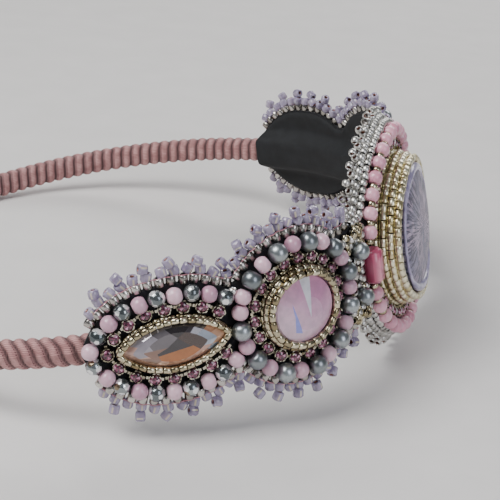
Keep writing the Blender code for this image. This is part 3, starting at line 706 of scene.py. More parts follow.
def sew(name, beads, slot, nodes=()):
    """Join a list of (bead, seat, tint) into one piece that stands for the named solids."""
    points, faces, slots, soft, tints, own, finishes = [], [], [], [], [], [], []
    start = 0
    for kind in sorted({bead[0] for bead in beads}):
        model = BEADS[kind]
        seats = np.array([np.array(place) for word, place, tint in beads if word == kind])
        shades = [tint for word, place, tint in beads if word == kind]
        size = len(model["corners"])
        placed = np.einsum("nij,vj->nvi", seats[:, :3, :3], model["corners"]) + seats[:, None, :3, 3]
        points.append(placed.reshape(-1, 3))
        own.append(np.tile(model["corners"], (len(seats), 1)))
        tints.append(np.repeat(shades, size))
        lookup = []
        for finish in model["finishes"]:
            if finish not in finishes:
                finishes.append(finish)
            lookup.append(finishes.index(finish))
        for number in range(len(seats)):
            offset = start + number * size
            faces += [tuple(corner + offset for corner in face) for face in model["faces"]]
            slots += [lookup[index] for index in model["slots"]]
            soft += [model["soft"]] * len(model["faces"])
        start += len(seats) * size
    mesh = bpy.data.meshes.new(name)
    mesh.from_pydata(np.vstack(points).tolist(), [], faces)
    mesh.polygons.foreach_set("material_index", slots)
    mesh.polygons.foreach_set("use_smooth", soft)
    mesh.attributes.new("tint", "FLOAT", "POINT").data.foreach_set("value", np.concatenate(tints))
    mesh.attributes.new("own", "FLOAT_VECTOR", "POINT").data.foreach_set("vector", np.vstack(own).ravel())
    for finish in finishes:
        mesh.materials.append(finish)
    mesh.set_sharp_from_angle(angle=radians(50))
    piece = bpy.data.objects.new(name, mesh)
    bpy.context.scene.collection.objects.link(piece)
    wear(piece, slot, nodes)
    print(name, len(beads), "beads,", len(faces), "faces")
    return piece


def wear(piece, slot, nodes=()):
    """Hand a finished piece to the frame."""
    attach(piece, "root")
    if nodes:
        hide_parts(*nodes)


# %% [markdown]
# ## Lofting soft things
# The wound hoop, the felt, the lining and the thread are long soft pieces whose section
# changes all along. Each is lofted: the same number of points goes round it at every
# station, and faces join one station to the next and close both ends.

# %% A helper that lofts a skin
def lofted(name, rows, finish, slot, nodes=(), crease=50):
    """A closed skin through equal loops of points, one loop for each station along the hoop."""
    count = len(rows[0])
    faces = []
    for i in range(len(rows) - 1):
        for j in range(count):
            k = (j + 1) % count
            faces.append((i * count + j, i * count + k, (i + 1) * count + k, (i + 1) * count + j))
    faces.append(tuple(range(count))[::-1])
    faces.append(tuple((len(rows) - 1) * count + j for j in range(count)))
    mesh = bpy.data.meshes.new(name)
    mesh.from_pydata([point for row in rows for point in row], [], faces)
    work = bmesh.new()
    work.from_mesh(mesh)
    bmesh.ops.recalc_face_normals(work, faces=work.faces)
    if work.calc_volume(signed=True) < 0:
        bmesh.ops.reverse_faces(work, faces=work.faces)
    work.to_mesh(mesh)
    work.free()
    mesh.shade_smooth()
    if crease:
        mesh.set_sharp_from_angle(angle=radians(crease))
    piece = bpy.data.objects.new(name, mesh)
    bpy.context.scene.collection.objects.link(piece)
    paint(piece, (finish,))
    wear(piece, slot, nodes)
    print(name, len(faces), "faces")
    return piece


# %% [markdown]
# ## Dusty pink grosgrain
# Grosgrain is a ribbed ribbon with a matte face: its ribs run across it, and its woven edge,
# the selvedge, shows as a line of little stitches beside the fold where the next turn starts.
# Every point of the hoop stores where it lies on the unrolled ribbon, in millimetres, so the
# ribs and stitches follow the winding. A wave texture repeats every pi / 10 of a unit at
# scale 1, which turns a real spacing into its scale. Real ribs are about a third of a
# millimetre apart and the stitches finer still: both are a little coarser here, to show.

# %% Mix the ribbon
RIB_SPACING, STITCH_SPACING = 0.3927, 0.5712
# How far through a turn, from 0 to 1, the selvedge lies
SELVEDGE = 0.74
ribbon = new_finish("dusty_pink_grosgrain", 0.62, Sheen_Weight=0.3, Sheen_Roughness=0.4,
                    Sheen_Tint=linear("E8C9C6"))
# fold is how high a point lies on the ridge of its turn, lowest in the crease between turns
fold = add(ribbon, "ShaderNodeAttribute", attribute_name="fold")["Fac"]
flat = add(ribbon, "ShaderNodeAttribute", attribute_name="unrolled")["Vector"]
phase = add(ribbon, "ShaderNodeSeparateXYZ", {0: flat})[2]
weave = {"Scale": pi / 10 / RIB_SPACING, "Distortion": 1.2, "Vector": flat,
         "Detail": 2.0, "Detail Scale": 3.0}
rib = add(ribbon, "ShaderNodeTexWave", weave, bands_direction="Y", wave_type="BANDS")["Fac"]
sewing = {"Scale": pi / 10 / STITCH_SPACING, "Distortion": 0.6, "Vector": flat}
stitches = add(ribbon, "ShaderNodeTexWave", sewing, bands_direction="Y", wave_type="BANDS")["Fac"]
from_selvedge = add(ribbon, "ShaderNodeMath", {0: phase, 1: SELVEDGE}, operation="SUBTRACT")[0]
near_selvedge = add(ribbon, "ShaderNodeMath", {0: from_selvedge}, operation="ABSOLUTE")[0]
stretches = ((grain(ribbon, 0.42, 4.0), 0.3, 0.7), (rib, -0.4, 0.75), (fold, 0.1, 1.05),
             (near_selvedge, 0.06, 0.03), (stitches, 0.65, 0.4))
cloud, ridged, lit, edge, holes = [
    add(ribbon, "ShaderNodeMapRange", {0: source, 1: low, 2: high}, interpolation_type="SMOOTHSTEP")[0]
    for source, low, high in stretches]
stitch = add(ribbon, "ShaderNodeMath", {0: edge, 1: holes}, operation="MULTIPLY")[0]
body = add(ribbon, "ShaderNodeMix", {0: cloud, 6: linear("B07C79"), 7: linear("DBA7A2")}, data_type="RGBA")[2]
ribbed = add(ribbon, "ShaderNodeMix", {0: ridged, 6: linear("86585A"), 7: body}, data_type="RGBA")[2]
stitched = add(ribbon, "ShaderNodeMix", {0: stitch, 6: ribbed, 7: linear("6E4245")}, data_type="RGBA")[2]
# Painted shade: the ribbon darkens from each turn's crest down into the crease between turns
wound = add(ribbon, "ShaderNodeMix", {0: lit, 6: linear("472A2C"), 7: stitched}, data_type="RGBA")[2]
show(ribbon, wound, rib, 0.5, 0.14 * MM)
print("ribs every", RIB_SPACING, "mm, stitches every", STITCH_SPACING, "mm")

# %% [markdown]
# ## The wound hoop
# The hoop is a springy strip wound tightly in ribbon. Each turn lies half over the last one,
# so the surface is a row of soft ridges that lean over the front and run back straight
# behind. A curve with a bevel can't make ridges that lean, so a rounded section is swept in
# many small steps, and each point is lifted by where it lies on its turn of ribbon.

# %% Loft the wound hoop
TURN_PITCH = 3.5 * MM
RIDGE = 0.75 * MM
# Length of one step of the loft, and how far from each tip the hoop starts to round off
RIBBON_STEP = 0.42 * MM
TIP_ROUNDING = 3.0 * MM


def strip_section(count=28):
    """Points round the hoop's rounded section, each with its angle and its distance round."""
    half = (HOOP_WIDTH / 2 - RIDGE * 0.55, HOOP_THICKNESS / 2 - RIDGE * 0.4)
    points = []
    # Powers below 1 flatten an ellipse's sides and round its corners
    for i in range(count):
        turn = 2 * pi * i / count
        across = abs(sin(turn)) ** 0.55 * (1 if sin(turn) >= 0 else -1)
        out = abs(cos(turn)) ** 0.62 * (1 if cos(turn) >= 0 else -1)
        points.append((half[0] * across, half[1] * out, turn))
    run = np.cumsum([0.0] + [hypot(points[i][0] - points[i - 1][0], points[i][1] - points[i - 1][1])
                             for i in range(1, count)])
    return [(t, h, turn, girth / MM) for (t, h, turn), girth in zip(points, run)]


def winding_lean(turn):
    """How far along the hoop the ribbon has moved, at an angle round the section from the front."""
    share = ((turn / (2 * pi)) + 0.25) % 1.0
    # It moves on by more than a turn across the front and comes back behind
    return TURN_PITCH * float(np.interp(share, (0.0, 0.5, 0.6, 0.9, 1.0), (0.0, 1.32, 1.38, 0.94, 1.0)))


ring = strip_section()
stations = int(round(2 * HALF_LENGTH / RIBBON_STEP))
rows, folds, unrolled = [], [], []
for i in range(stations + 1):
    s = -HALF_LENGTH + 2 * HALF_LENGTH * i / stations
    to_tip = HALF_LENGTH - abs(s)
    size = min(1.0, 0.5 + 0.5 * sqrt(to_tip / TIP_ROUNDING)) if to_tip < TIP_ROUNDING else 1.0
    row = []
    for t, h, turn, girth in ring:
        phase = ((s + winding_lean(turn)) / TURN_PITCH) % 1.0
        crest = sin(pi * phase ** 0.85) ** 0.85
        grow = 1.0 + RIDGE * crest / hypot(t, h)
        row.append(on_panel(s, size * t * grow, size * h * grow - HOOP_DEPTH))
        folds.append(crest)
        unrolled += (s / MM, girth, phase)
    rows.append(row)
hoop = lofted("ribbon_wound_hoop", rows, ribbon, "ribbon", ("wrapped_hoop",), crease=None)
hoop.data.attributes.new("fold", "FLOAT", "POINT").data.foreach_set("value", folds)
hoop.data.attributes.new("unrolled", "FLOAT_VECTOR", "POINT").data.foreach_set("vector", unrolled)

# %% [markdown]
# ## The felt
# The felt is a flat sheet cut to the lobes, and it shows only as black between the beads.
# It is lofted across the band, section by section, because its outline follows the lobes,
# with stations at even steps along that outline. Wool felt is all fuzz, so it drinks the
# light.

# %% Loft the felt
def even_stations(start, end, margin, count):
    """Stations that keep even steps along the panel's edge, with the half width at each."""
    line = np.array(edge_line(start, end, margin, 1, 1500))
    run = np.concatenate(([0.0], np.cumsum(np.hypot(*np.diff(line, axis=0).T))))
    even = np.linspace(0.0, run[-1], count)
    return list(zip(np.interp(even, run, line[:, 0]), np.interp(even, run, line[:, 1])))


black_felt = new_finish("black_wool_felt", 0.95, Sheen_Weight=0.15)
fuzz = grain(black_felt, 3.0, 6.0)
wool = add(black_felt, "ShaderNodeMix", {0: fuzz, 6: linear("0D0D10"), 7: linear("212127")},
           data_type="RGBA")[2]
show(black_felt, wool, fuzz, 0.7, 0.2 * MM)

CUT_MARGIN = 1.9 * MM
FELT_END = NAVETTE_PLACE + NAVETTE_RING[0] + 0.97 * CUT_MARGIN
rows = []
for s, half in even_stations(-FELT_END, FELT_END, CUT_MARGIN, 220):
    across = [half * share for share in np.linspace(-1.0, 1.0, 9)]
    front = [on_panel(s, t, 0.0) for t in across]
    back = [on_panel(s, t, -FELT_THICKNESS) for t in reversed(across)]
    rows.append(front + back)
lofted("felt_panel", rows, black_felt, "felt", ("felt_base",))

# %% [markdown]
# ## The lining
# The lining is soft leather glued inside: it lies on the felt, rises over the hoop in the
# middle, and is caught at its edge by the edging's stitches, so it thins out there. Sueded
# leather is nearly as matte as felt, with fine pores and a cloudy nap.

# %% Loft the lining over the hoop
charcoal = new_finish("charcoal_suede_lining", 0.75)
nap, pores = grain(charcoal, 0.26, 5.0), grain(charcoal, 5.2, 2.0)
cloud = add(charcoal, "ShaderNodeMapRange", {0: nap, 1: 0.3, 2: 0.7}, interpolation_type="SMOOTHSTEP")[0]
suede = add(charcoal, "ShaderNodeMix", {0: cloud, 6: linear("0D0E10"), 7: linear("16181B")},
            data_type="RGBA")[2]
show(charcoal, suede, pores, 0.35, 0.08 * MM)

LINING = 1.2 * MM
LINING_MARGIN = FELT_MARGIN - 0.2 * MM
LINING_SLOPE = 3.4 * MM
FOOT = -FELT_THICKNESS - 0.15 * MM
CREST = -HOOP_DEPTH - HOOP_THICKNESS / 2 - 0.25 * MM
CREST_HALF = HOOP_WIDTH / 2 + 0.3 * MM


def lining_depth(t):
    """Depth of the lining's glued side: on the felt at the sides, over the hoop in the middle."""
    share = min(1.0, max(0.0, (abs(t) - CREST_HALF) / LINING_SLOPE))
    ease = share * share * (3 - 2 * share)
    return CREST + (FOOT - CREST) * ease


rows = []
lining_end = lobe_end(CREST_HALF + 0.3 * MM, LINING_MARGIN)
for s, half in even_stations(-lining_end, lining_end, LINING_MARGIN, 200):
    across = [half * share for share in np.sin(np.linspace(-pi / 2, pi / 2, 25))]
    front = [on_panel(s, t, lining_depth(t)) for t in across]
    back = []
    for t in reversed(across):
        edge = max(0.0, 1.0 - (half - abs(t)) / LINING)
        back.append(on_panel(s, t, lining_depth(t) - LINING * (1.0 - 0.45 * edge * edge)))
    rows.append(front + back)
lofted("leather_lining_glued", rows, charcoal, "lining_leather", ("leather_lining",))

# %% [markdown]
# ## The edging
# The felt's edge is closed with brick stitch: metal beads stand in a row with their holes
# outward, and on them sit picots, two lilac beads side by side with a third on top.
# Each border follows the panel's edge at its own margin, from one neck to the next.

# %% Sew the lilac picots of the four side lobes
# How far outside the bead ring the metal row runs, and how far past it each row of a picot
ROW_MARGIN = {"round": 2.7 * MM, "navette": 2.95 * MM}
BASE_STEP, TOP_STEP = 1.95 * MM, 4.25 * MM
PICOT_PITCH = 6.2 * MM
EDGE_HEIGHT = -0.5 * MM
BRICK_PITCH = 2.75 * MM
LOBE_EDGES = (("round", NECK + 0.6 * MM, NOTCH - 0.1 * MM), ("navette", NOTCH + 0.2 * MM, EDGING_END))


def picots(line, margins, pitch, kind, up, across, heights):
    """Picots along an edge, two beads at the base of each and one on top, which may lie crosswise.

    The base and the top have a margin and a height each, and across is how often a top bead
    lies crosswise, from 0 to 1.
    """
    start, end = line
    base, top = margins
    beads = []
    units = walk(edge_line(start, end, base, up), pitch, closed=False)
    for s, t, turn in walk(edge_line(start, end, base, up), 0, False, 0.5, 2 * len(units)):
        lean = turn + pi / 2 + radians(dice.normal(0, 16))
        beads.append((kind, shaken(seat(s, t, heights[0], lean), 8, 0.15 * MM), dice.uniform()))
    for s, t, turn in walk(edge_line(start, end, top, up), 0, False, 0.42, len(units)):
        lean = turn + (pi / 2 if dice.uniform() < across else 0.0) + radians(dice.normal(0, 22))
        lift = heights[1] + dice.normal(0.2 * MM, 0.2 * MM)
        beads.append((kind, shaken(seat(s, t, lift, lean), 8, 0.15 * MM), dice.uniform()))
    return beads


for side, word in SIDES:
    for lobe, start, end in LOBE_EDGES:
        row = ROW_MARGIN[lobe]
        for up, level in LEVELS:
            beads = []
            for s, t, turn in walk(edge_line(side * start, side * end, row, up), BRICK_PITCH, False):
                place = seat(s, t, EDGE_HEIGHT, turn + pi / 2)
                beads.append(("silver cylinder", shaken(place, 4), dice.uniform()))
            beads += picots((side * start, side * end), (row + BASE_STEP, row + TOP_STEP), PICOT_PITCH,
                            "lilac seed", up, 0.55, (EDGE_HEIGHT - 0.4 * MM, EDGE_HEIGHT))
            sew("picot_edging_" + lobe + "_" + word + "_" + level, beads, "lilac_seed",
                ("edging_" + lobe + "_" + word + "_" + level,))

# %% [markdown]
# ## The medallion's silver edging
# The medallion's own border has two rows of round silver seeds, sewn with their holes along
# the edge, and silver picots. It curls to the back, so each row lies lower than the last.

# %% Sew the silver edging
SILVER_PITCH, SILVER_PICOT_PITCH = 2.05 * MM, 4.6 * MM
# Margin, height and first step of each row of seeds
SILVER_ROWS = ((2.1 * MM, 0.2 * MM, 0.5), (3.2 * MM, -1.3 * MM, 0.25))
for up, level in LEVELS:
    beads = []
    line = (0.3 * MM - NECK, NECK - 0.3 * MM)
    # Below, the border is drawn in further under the medallion
    tuck = 0.0 if up > 0 else 1.0 * MM
    for margin, height, shift in SILVER_ROWS:
        for s, t, turn in walk(edge_line(*line, margin - tuck, up), SILVER_PITCH, False, shift):
            beads.append(("silver dark seed", shaken(seat(s, t, height, turn), 6), dice.uniform()))
    beads += picots(line, (4.3 * MM - tuck, 5.3 * MM - tuck), SILVER_PICOT_PITCH, "silver seed", up, 0.3,
                    (-2.6 * MM, -3.5 * MM))
    sew("silver_edging_medallion_" + level, beads, "silver_seed", ("edging_medallion_" + level,))

# %% [markdown]
# ## The thread that shows
# Between the metal beads and the picots the pink nylon thread runs in the open, drawn tight.
# It is a fine tube: five points round the line at each step, lofted like the felt. Twisted
# nylon has a silky sheen and a fine uneven surface, and it rises and dips between stitches.

# %% Lay the pink thread
THREAD, THREAD_STEP = 0.12 * MM, 0.6 * MM
THREAD_MARGIN = 1.05 * MM
nylon = new_finish("pink_nylon_thread", 0.45, Sheen_Weight=0.2)
twist = grain(nylon, 3.5, 2.0)
strand = add(nylon, "ShaderNodeMix", {0: twist, 6: linear("A8606C"), 7: linear("D99AA2")},
             data_type="RGBA")[2]
show(nylon, strand, twist, 0.5, 0.05 * MM)
loop = [(THREAD * cos(2 * pi * k / 5), THREAD * sin(2 * pi * k / 5)) for k in range(5)]
for side, word in SIDES:
    for lobe, start, end in LOBE_EDGES:
        for up, level in LEVELS:
            line = edge_line(side * start, side * end, ROW_MARGIN[lobe] + THREAD_MARGIN, up)
            rows = []
            for number, (s, t, turn) in enumerate(walk(line, THREAD_STEP, False)):
                rise = EDGE_HEIGHT + (0.8 + 0.25 * sin(1.3 * number)) * MM
                rows.append([on_panel(s - sin(turn) * u, t + cos(turn) * u, rise + v) for u, v in loop])
            lofted("pink_thread_" + lobe + "_" + word + "_" + level, rows, nylon, "ribbon")

# %% [markdown]
# ## Bezels of gold cylinder beads
# A stone without a hole is held by a peyote-stitched bezel: rows of cylinder beads lie on
# their sides round it like bricks, each row half a bead on from the last. The first row is
# as wide as the stone's girdle and the last one closes over its edge.

# %% Sew the bezels
def brick_rows(rows, pitch, kind):
    """Rows of beads round a line: each row is a line, a height and a lean towards the stone."""
    beads = []
    for number, (line, height, lean) in enumerate(rows):
        for s, t, turn in walk(line, pitch, True, 0.5 * (number % 2)):
            place = seat(s, t, height, turn) @ Matrix.Rotation(lean, 4, "X")
            beads.append((kind, shaken(place, 3.0, 0.04 * MM), dice.uniform()))
    return beads


# A bead's length and a little thread, for the beads of each bezel
SMALL_BRICK, MIDDLE_BRICK, LARGE_BRICK = 1.85 * MM, 2.1 * MM, 2.25 * MM
# The marquise bezel's two rows, the second of which closes over the stone
NAVETTE_COLLAR, COLLAR_SHAPE = (13.2 * MM, 6.3 * MM), (2.2, 0.82)
NAVETTE_CLOSING, CLOSING_SHAPE = (12.95 * MM, 6.0 * MM), (2.15, 0.84)
# Radius and height in millimetres, and lean, of each row round a round stone
ROUND_ROWS = ((10.1, 1.2, 0.0), (9.9, 2.9, 0.2), (9.1, 4.3, 0.9))
MEDALLION_ROWS = ((20.3, 1.2, 0.0), (19.9, 3.2, 0.1), (19.4, 5.1, 0.2), (18.7, 6.9, 0.4))


def round_rows(table, middle):
    """The rows of a table as lines round a place on the hoop."""
    return [(round_line(radius * MM, middle), height * MM, lean) for radius, height, lean in table]


for side, word in SIDES:
    middle = side * NAVETTE_PLACE
    rows = ((marquise_line(NAVETTE_COLLAR, COLLAR_SHAPE, middle), 1.5 * MM, 0.1),
            (marquise_line(NAVETTE_CLOSING, CLOSING_SHAPE, middle), 3.15 * MM, 0.5))
    sew("gold_bezel_navette_" + word, brick_rows(rows, SMALL_BRICK, "gold cylinder"), "gold_seed",
        ("navette_bezel_" + word,))
    rows = round_rows(ROUND_ROWS, side * ROUND_PLACE)
    sew("gold_bezel_round_" + word, brick_rows(rows, MIDDLE_BRICK, "gold brick"), "gold_seed",
        ("round_bezel_" + word,))
rows = round_rows(MEDALLION_ROWS, 0.0)
sew("gold_wall_medallion", brick_rows(rows, LARGE_BRICK, "large gold cylinder"), "gold_seed",
    ("medallion_bezel",))

# %% [markdown]
# ## Cup chains
# Each stone is ringed by cup chain, which is cut to length and sewn down between its cups.
# Where a marquise lobe meets the round one there is no room, and its chain stops.

# %% Lay the cup chains
def clear_of_round(s, t, needed):
    """True where there is room beside the round lobe's ring of pearls."""
    return hypot(abs(s) - ROUND_PLACE, t) - ROUND_RING >= needed


CHAIN_HEIGHT = 0.6 * MM
NAVETTE_CHAIN, CHAIN_SHAPE = (15.7 * MM, 8.8 * MM), (2.4, 0.74)
ROUND_CHAIN, MEDALLION_CHAIN = 12.6 * MM, 23.2 * MM
# Room that a cup and a larger bead need beside the pearls of the round lobe
CHAIN_ROOM, RING_ROOM = 3.3 * MM, 3.6 * MM
# The left chain's line starts at its outer tip and the right one's at its inner tip, so the
# right chain starts half a cup on, and both have a cup on the outer tip
CHAIN_START = {1: 0.0, -1: 0.5}


def chain(name, line, pitch, nodes, keep=None, shift=0.5):
    """Cups in a row along a closed line, left out where keep says that there is no room."""
    beads = []
    for s, t, turn in walk(line, pitch, True, shift):
        if keep is None or keep(s, t):
            place = shaken(seat(s, t, CHAIN_HEIGHT, turn), 4, 0.06 * MM, 0.06)
            beads.append(("cup", place, dice.uniform()))
    sew(name, beads, "cup_chain", nodes)


for side, word in SIDES:
    line = marquise_line(NAVETTE_CHAIN, CHAIN_SHAPE, side * NAVETTE_PLACE)
    chain("cup_chain_navette_" + word, line, 4.65 * MM, ("navette_cup_chain_" + word,),
          lambda s, t: clear_of_round(s, t, CHAIN_ROOM), CHAIN_START[side])
    line = round_line(ROUND_CHAIN, side * ROUND_PLACE)
    chain("cup_chain_round_" + word, line, 4.2 * MM, ("round_cup_chain_" + word,))
chain("cup_chain_medallion", round_line(MEDALLION_CHAIN, 0.0), 4.3 * MM, ("medallion_cup_chain",))

# %% [markdown]
# ## Rings of larger beads
# Outside the cup chain lies a string of larger beads. On the marquise lobes pink rounds and
# faceted silver beads take turns, and on the round lobes pink rounds and grey pearls do.
# The two sizes of a round lobe's string are laid end to end, so each bead gets its own room.

# %% String the rings of the side lobes
BEAD_HEIGHT, PEARL_HEIGHT = 2.15 * MM, 2.65 * MM
# How many beads would go all round a marquise, and where the first lies, in bead steps
NAVETTE_BEADS, NAVETTE_TURN = 24, -0.42
# Bead sizes round a round lobe, and how far the string is turned along its line, in millimetres
ROUND_SIZES, ROUND_TURN = [4.0] + [5.0, 4.0] * 11, -5.6
for side, word in SIDES:
    line = marquise_line(NAVETTE_RING, NAVETTE_SHAPE, side * NAVETTE_PLACE)
    if side < 0:
        line = line[len(line) // 2:] + line[:len(line) // 2]
    beads = []
    for number, (s, t, turn) in enumerate(walk(line, 0, True, NAVETTE_TURN, NAVETTE_BEADS)):
        if clear_of_round(s, t, RING_ROOM):
            kind, spin = ("faceted silver", pi) if number % 2 else ("pink round", 0.7)
            place = shaken(seat(s, t, BEAD_HEIGHT, turn), 4, 0.08 * MM, spin)
            beads.append((kind, place, dice.uniform()))
    sew("bead_ring_navette_" + word, beads, "pink_bead", ("navette_bead_ring_" + word,))

    line = round_line(ROUND_RING, side * ROUND_PLACE)
    if side < 0:
        line = line[len(line) // 2:] + line[:len(line) // 2]
    run = np.cumsum([0.0] + ROUND_SIZES)
    beads = []
    for number, size in enumerate(ROUND_SIZES):
        # One of 360 steps round the ring, shifted to where this bead lies
        share = (run[number] + size / 2 + ROUND_TURN) / run[-1]
        s, t, turn = walk(line, 0, True, share * 360, 360)[0]
        kind, height = ("pearl", PEARL_HEIGHT) if number % 2 else ("pink round", BEAD_HEIGHT)
        beads.append((kind, shaken(seat(s, t, height, turn), 4, 0.06 * MM), dice.uniform()))
    sew("pearl_ring_round_" + word, beads, "pearl", ("round_bead_ring_" + word,))

# %% [markdown]
# ## The medallion's ring
# The medallion has pink rounds with a gold bead between. The ring is open at both sides,
# where a tube bead lies.

# %% Ring the medallion
TUBE_LENGTH, MEDALLION_BEADS = 9.5 * MM, 31
OPENING = (TUBE_LENGTH / 2 + 0.2 * MM) / MEDALLION_RING
for up, level in LEVELS:
    turns = np.linspace(OPENING, pi - OPENING, 200)
    line = [(MEDALLION_RING * cos(turn), up * MEDALLION_RING * sin(turn)) for turn in turns]
    beads = []
    for number, (s, t, turn) in enumerate(walk(line, 0, False, 0.5, MEDALLION_BEADS)):
        kind, degrees = ("rose round", 3) if number % 2 else ("wide gold cylinder", 4)
        beads.append((kind, shaken(seat(s, t, BEAD_HEIGHT, turn), degrees, 0.05 * MM), dice.uniform()))
    sew("pink_ring_medallion_" + level, beads, "pink_bead", ("medallion_bead_ring_" + level,))

# %% [markdown]
# ## Between the lobes
# The neck beside the medallion is filled with whatever fits: a rose tube bead in the ring's
# own line, a pearl above and below it, and little heaps of gold seeds.

# %% Fill the necks
PEARL_OFFSET, HEAP_OFFSET = 6.2 * MM, 10.9 * MM
HEAP_HALF, HEAP_SEEDS = (3.4, 1.9), 15
for side, word in SIDES:
    sew("rose_tube_" + word, [("rose tube", seat(side * MEDALLION_RING, 0.0, 2.9 * MM, pi / 2), 0.5)],
        "rose_glass", ("tube_bead_" + word,))
    for up, level in LEVELS:
        place = seat(side * NECK, up * PEARL_OFFSET, 2.7 * MM, radians(40 * side * up))
        sew("neck_pearl_" + word + "_" + level, [("pearl", place, 0.6)], "pearl",
            ("spacer_pearl_" + word + "_" + level,))
        beads = []
        for number in range(HEAP_SEEDS):
            along = dice.uniform(-HEAP_HALF[0], HEAP_HALF[0]) * MM
            over = dice.uniform(-HEAP_HALF[1], HEAP_HALF[1]) * MM
            heap = max(0.0, 1 - hypot(along / 3.6, over / 2.0) / MM)
            rise = (0.9 + 1.6 * heap + dice.uniform(0, 0.4)) * MM
            place = seat(side * NECK + along, up * (HEAP_OFFSET + over), rise, dice.uniform(0, pi))
            beads.append(("gold seed", shaken(place, 35), dice.uniform()))
        sew("gold_cluster_" + word + "_" + level, beads, "gold_seed", ("seed_cluster_" + word + "_" + level,))

# %% [markdown]
# ## Small beads in the gaps
# A bead worker leaves no felt bare between the lobes: seeds go in wherever one fits.
# A grid of places is tried in each neck, and a place is kept if no larger bead covers it.

# %% Fill what is left bare
SEED_GRID, SEED_ROOM = 1.95 * MM, 0.35 * MM
# The grids stop this far from the middle of a lobe, where its own rings fill the felt
LOBE_REACH = 11 * MM
STRETCHES = (("inner", MEDALLION_RING, ROUND_PLACE - LOBE_REACH),
             ("outer", ROUND_PLACE + LOBE_REACH, NAVETTE_PLACE - LOBE_REACH))


def taken_places(side):
    """Points along everything larger on one side, each with the half width that it covers."""
    middle = side * NAVETTE_PLACE
    rings = ((round_line(ROUND_RING, side * ROUND_PLACE, 60), 2.3 * MM, 0.0),
             (marquise_line(NAVETTE_RING, NAVETTE_SHAPE, middle, 80), 2.2 * MM, RING_ROOM),
             ([(side * NECK, up * PEARL_OFFSET) for up, level in LEVELS], 2.3 * MM, 0.0),
             (round_line(ROUND_CHAIN, side * ROUND_PLACE, 60), 1.9 * MM, 0.0),
             (marquise_line(NAVETTE_COLLAR, COLLAR_SHAPE, middle, 80), 1.4 * MM, 0.0),
             (marquise_line(NAVETTE_CHAIN, CHAIN_SHAPE, middle, 80), 1.9 * MM, CHAIN_ROOM))
    return [(s, t, size) for line, size, room in rings for s, t in line
            if not room or clear_of_round(s, t, room)]


taken = [(MEDALLION_RING * cos(turn), up * MEDALLION_RING * sin(turn), 2.0 * MM)
         for up, level in LEVELS for turn in np.linspace(0, pi, 40)]
for side, word in SIDES:
    taken += taken_places(side)
    for place, start, end in STRETCHES:
        for up, level in LEVELS:
            beads = []
            for i, s in enumerate(np.arange(start, end, SEED_GRID)):
                shift = 0.5 * SEED_GRID * (i % 2)
                # Near the marquise its pointed end takes the middle of the felt
                bare = 2.0 * MM if s > NAVETTE_PLACE - 14 * MM else 0.3 * MM
                for t in np.arange(bare + shift, lobe_reach(s, FELT_MARGIN) - 0.6 * MM, SEED_GRID):
                    if all(hypot(side * s - x, up * t - y) > size + SEED_ROOM for x, y, size in taken):
                        kind = dice.choice(["silver dark seed", "gold seed", "silver seed"])
                        rise = 0.95 * MM + dice.uniform(0, 0.5) * MM
                        seed = seat(side * s, up * t, rise, dice.uniform(0, pi))
                        beads.append((kind, shaken(seed, 20, 0.15 * MM), dice.uniform()))
            sew("seed_fill_" + place + "_" + word + "_" + level, beads, "silver_seed")

# %% [markdown]
# ## The finish of cut crystal
# The big stones are clear crystal with foil behind. What the eye sees are the foil's
# reflections through the facets, dark beside bright. A render of real glass and foil would
# need many bounces of light and still land elsewhere, so each facet gets its own colour,
# under the hard clear polish of glass.

# %% Mix the crystal finishes
def facet_finish(name, roughness, **constants):
    """Cut crystal: every face wears its own colour, a painted reflection, under a clear polish."""
    material = new_finish(name, roughness, Coat_Weight=1.0, Coat_Roughness=0.02, **constants)
    shade = add(material, "ShaderNodeAttribute", attribute_name="facet")["Color"]
    cloud = add(material, "ShaderNodeMapRange", {0: grain(material, 0.5), 1: 0.35, 2: 0.65},
                interpolation_type="SMOOTHSTEP")[0]
    deep = add(material, "ShaderNodeHueSaturation", {"Value": 0.88, "Color": shade})["Color"]
    cut = add(material, "ShaderNodeMix", {0: cloud, 6: shade, 7: deep}, data_type="RGBA")[2]
    show(material, cut)
    return material


champagne = facet_finish("foiled_champagne_crystal", 0.08, Metallic=0.35)
opal = facet_finish("foiled_rose_opal_crystal", 0.12, Subsurface_Weight=0.25, Subsurface_Scale=0.5)


def colour_faces(piece, choose):
    """Store a colour on every face, chosen by the face's own place."""
    layer = piece.data.attributes.new("facet", "FLOAT_COLOR", "CORNER")
    for face in piece.data.polygons:
        shade = linear(choose(face.center))
        for corner in face.loop_indices:
            layer.data[corner].color = shade


def set_stone(piece, name, place, slot, nodes, finish):
    """Move a stone's corners to its seat on the panel, and leave its object at the origin."""
    piece.name = name
    piece.data.name = name
    piece.data.transform(place)
    paint(piece, (finish,))
    wear(piece, slot, nodes)
    print(name, len(piece.data.polygons), "facets")


# %% [markdown]
# ## The marquise stones
# A marquise is cut long and pointed. It starts as a disc of twenty-four sides, is extruded
# and drawn in for the crown and the table, and then its corners are moved out to the
# marquise line. A few cuts across the table split it, because the foil's reflections do
# not stop at the facets.

# %% Cut the marquise stones
STONE_HALF = (12.4 * MM, 5.7 * MM)
# A point on each cut across the table, and its direction, on a disc of radius 1
TABLE_CUTS = (((0.0, 0.05, 0), (0.1, 1, 0)), ((0.25, 0, 0), (1, 0.5, 0)), ((-0.2, 0, 0), (1, -0.7, 0)),
              ((0.0, -0.25, 0), (-0.25, 1, 0)), ((-0.42, 0, 0), (1, 0.2, 0)))


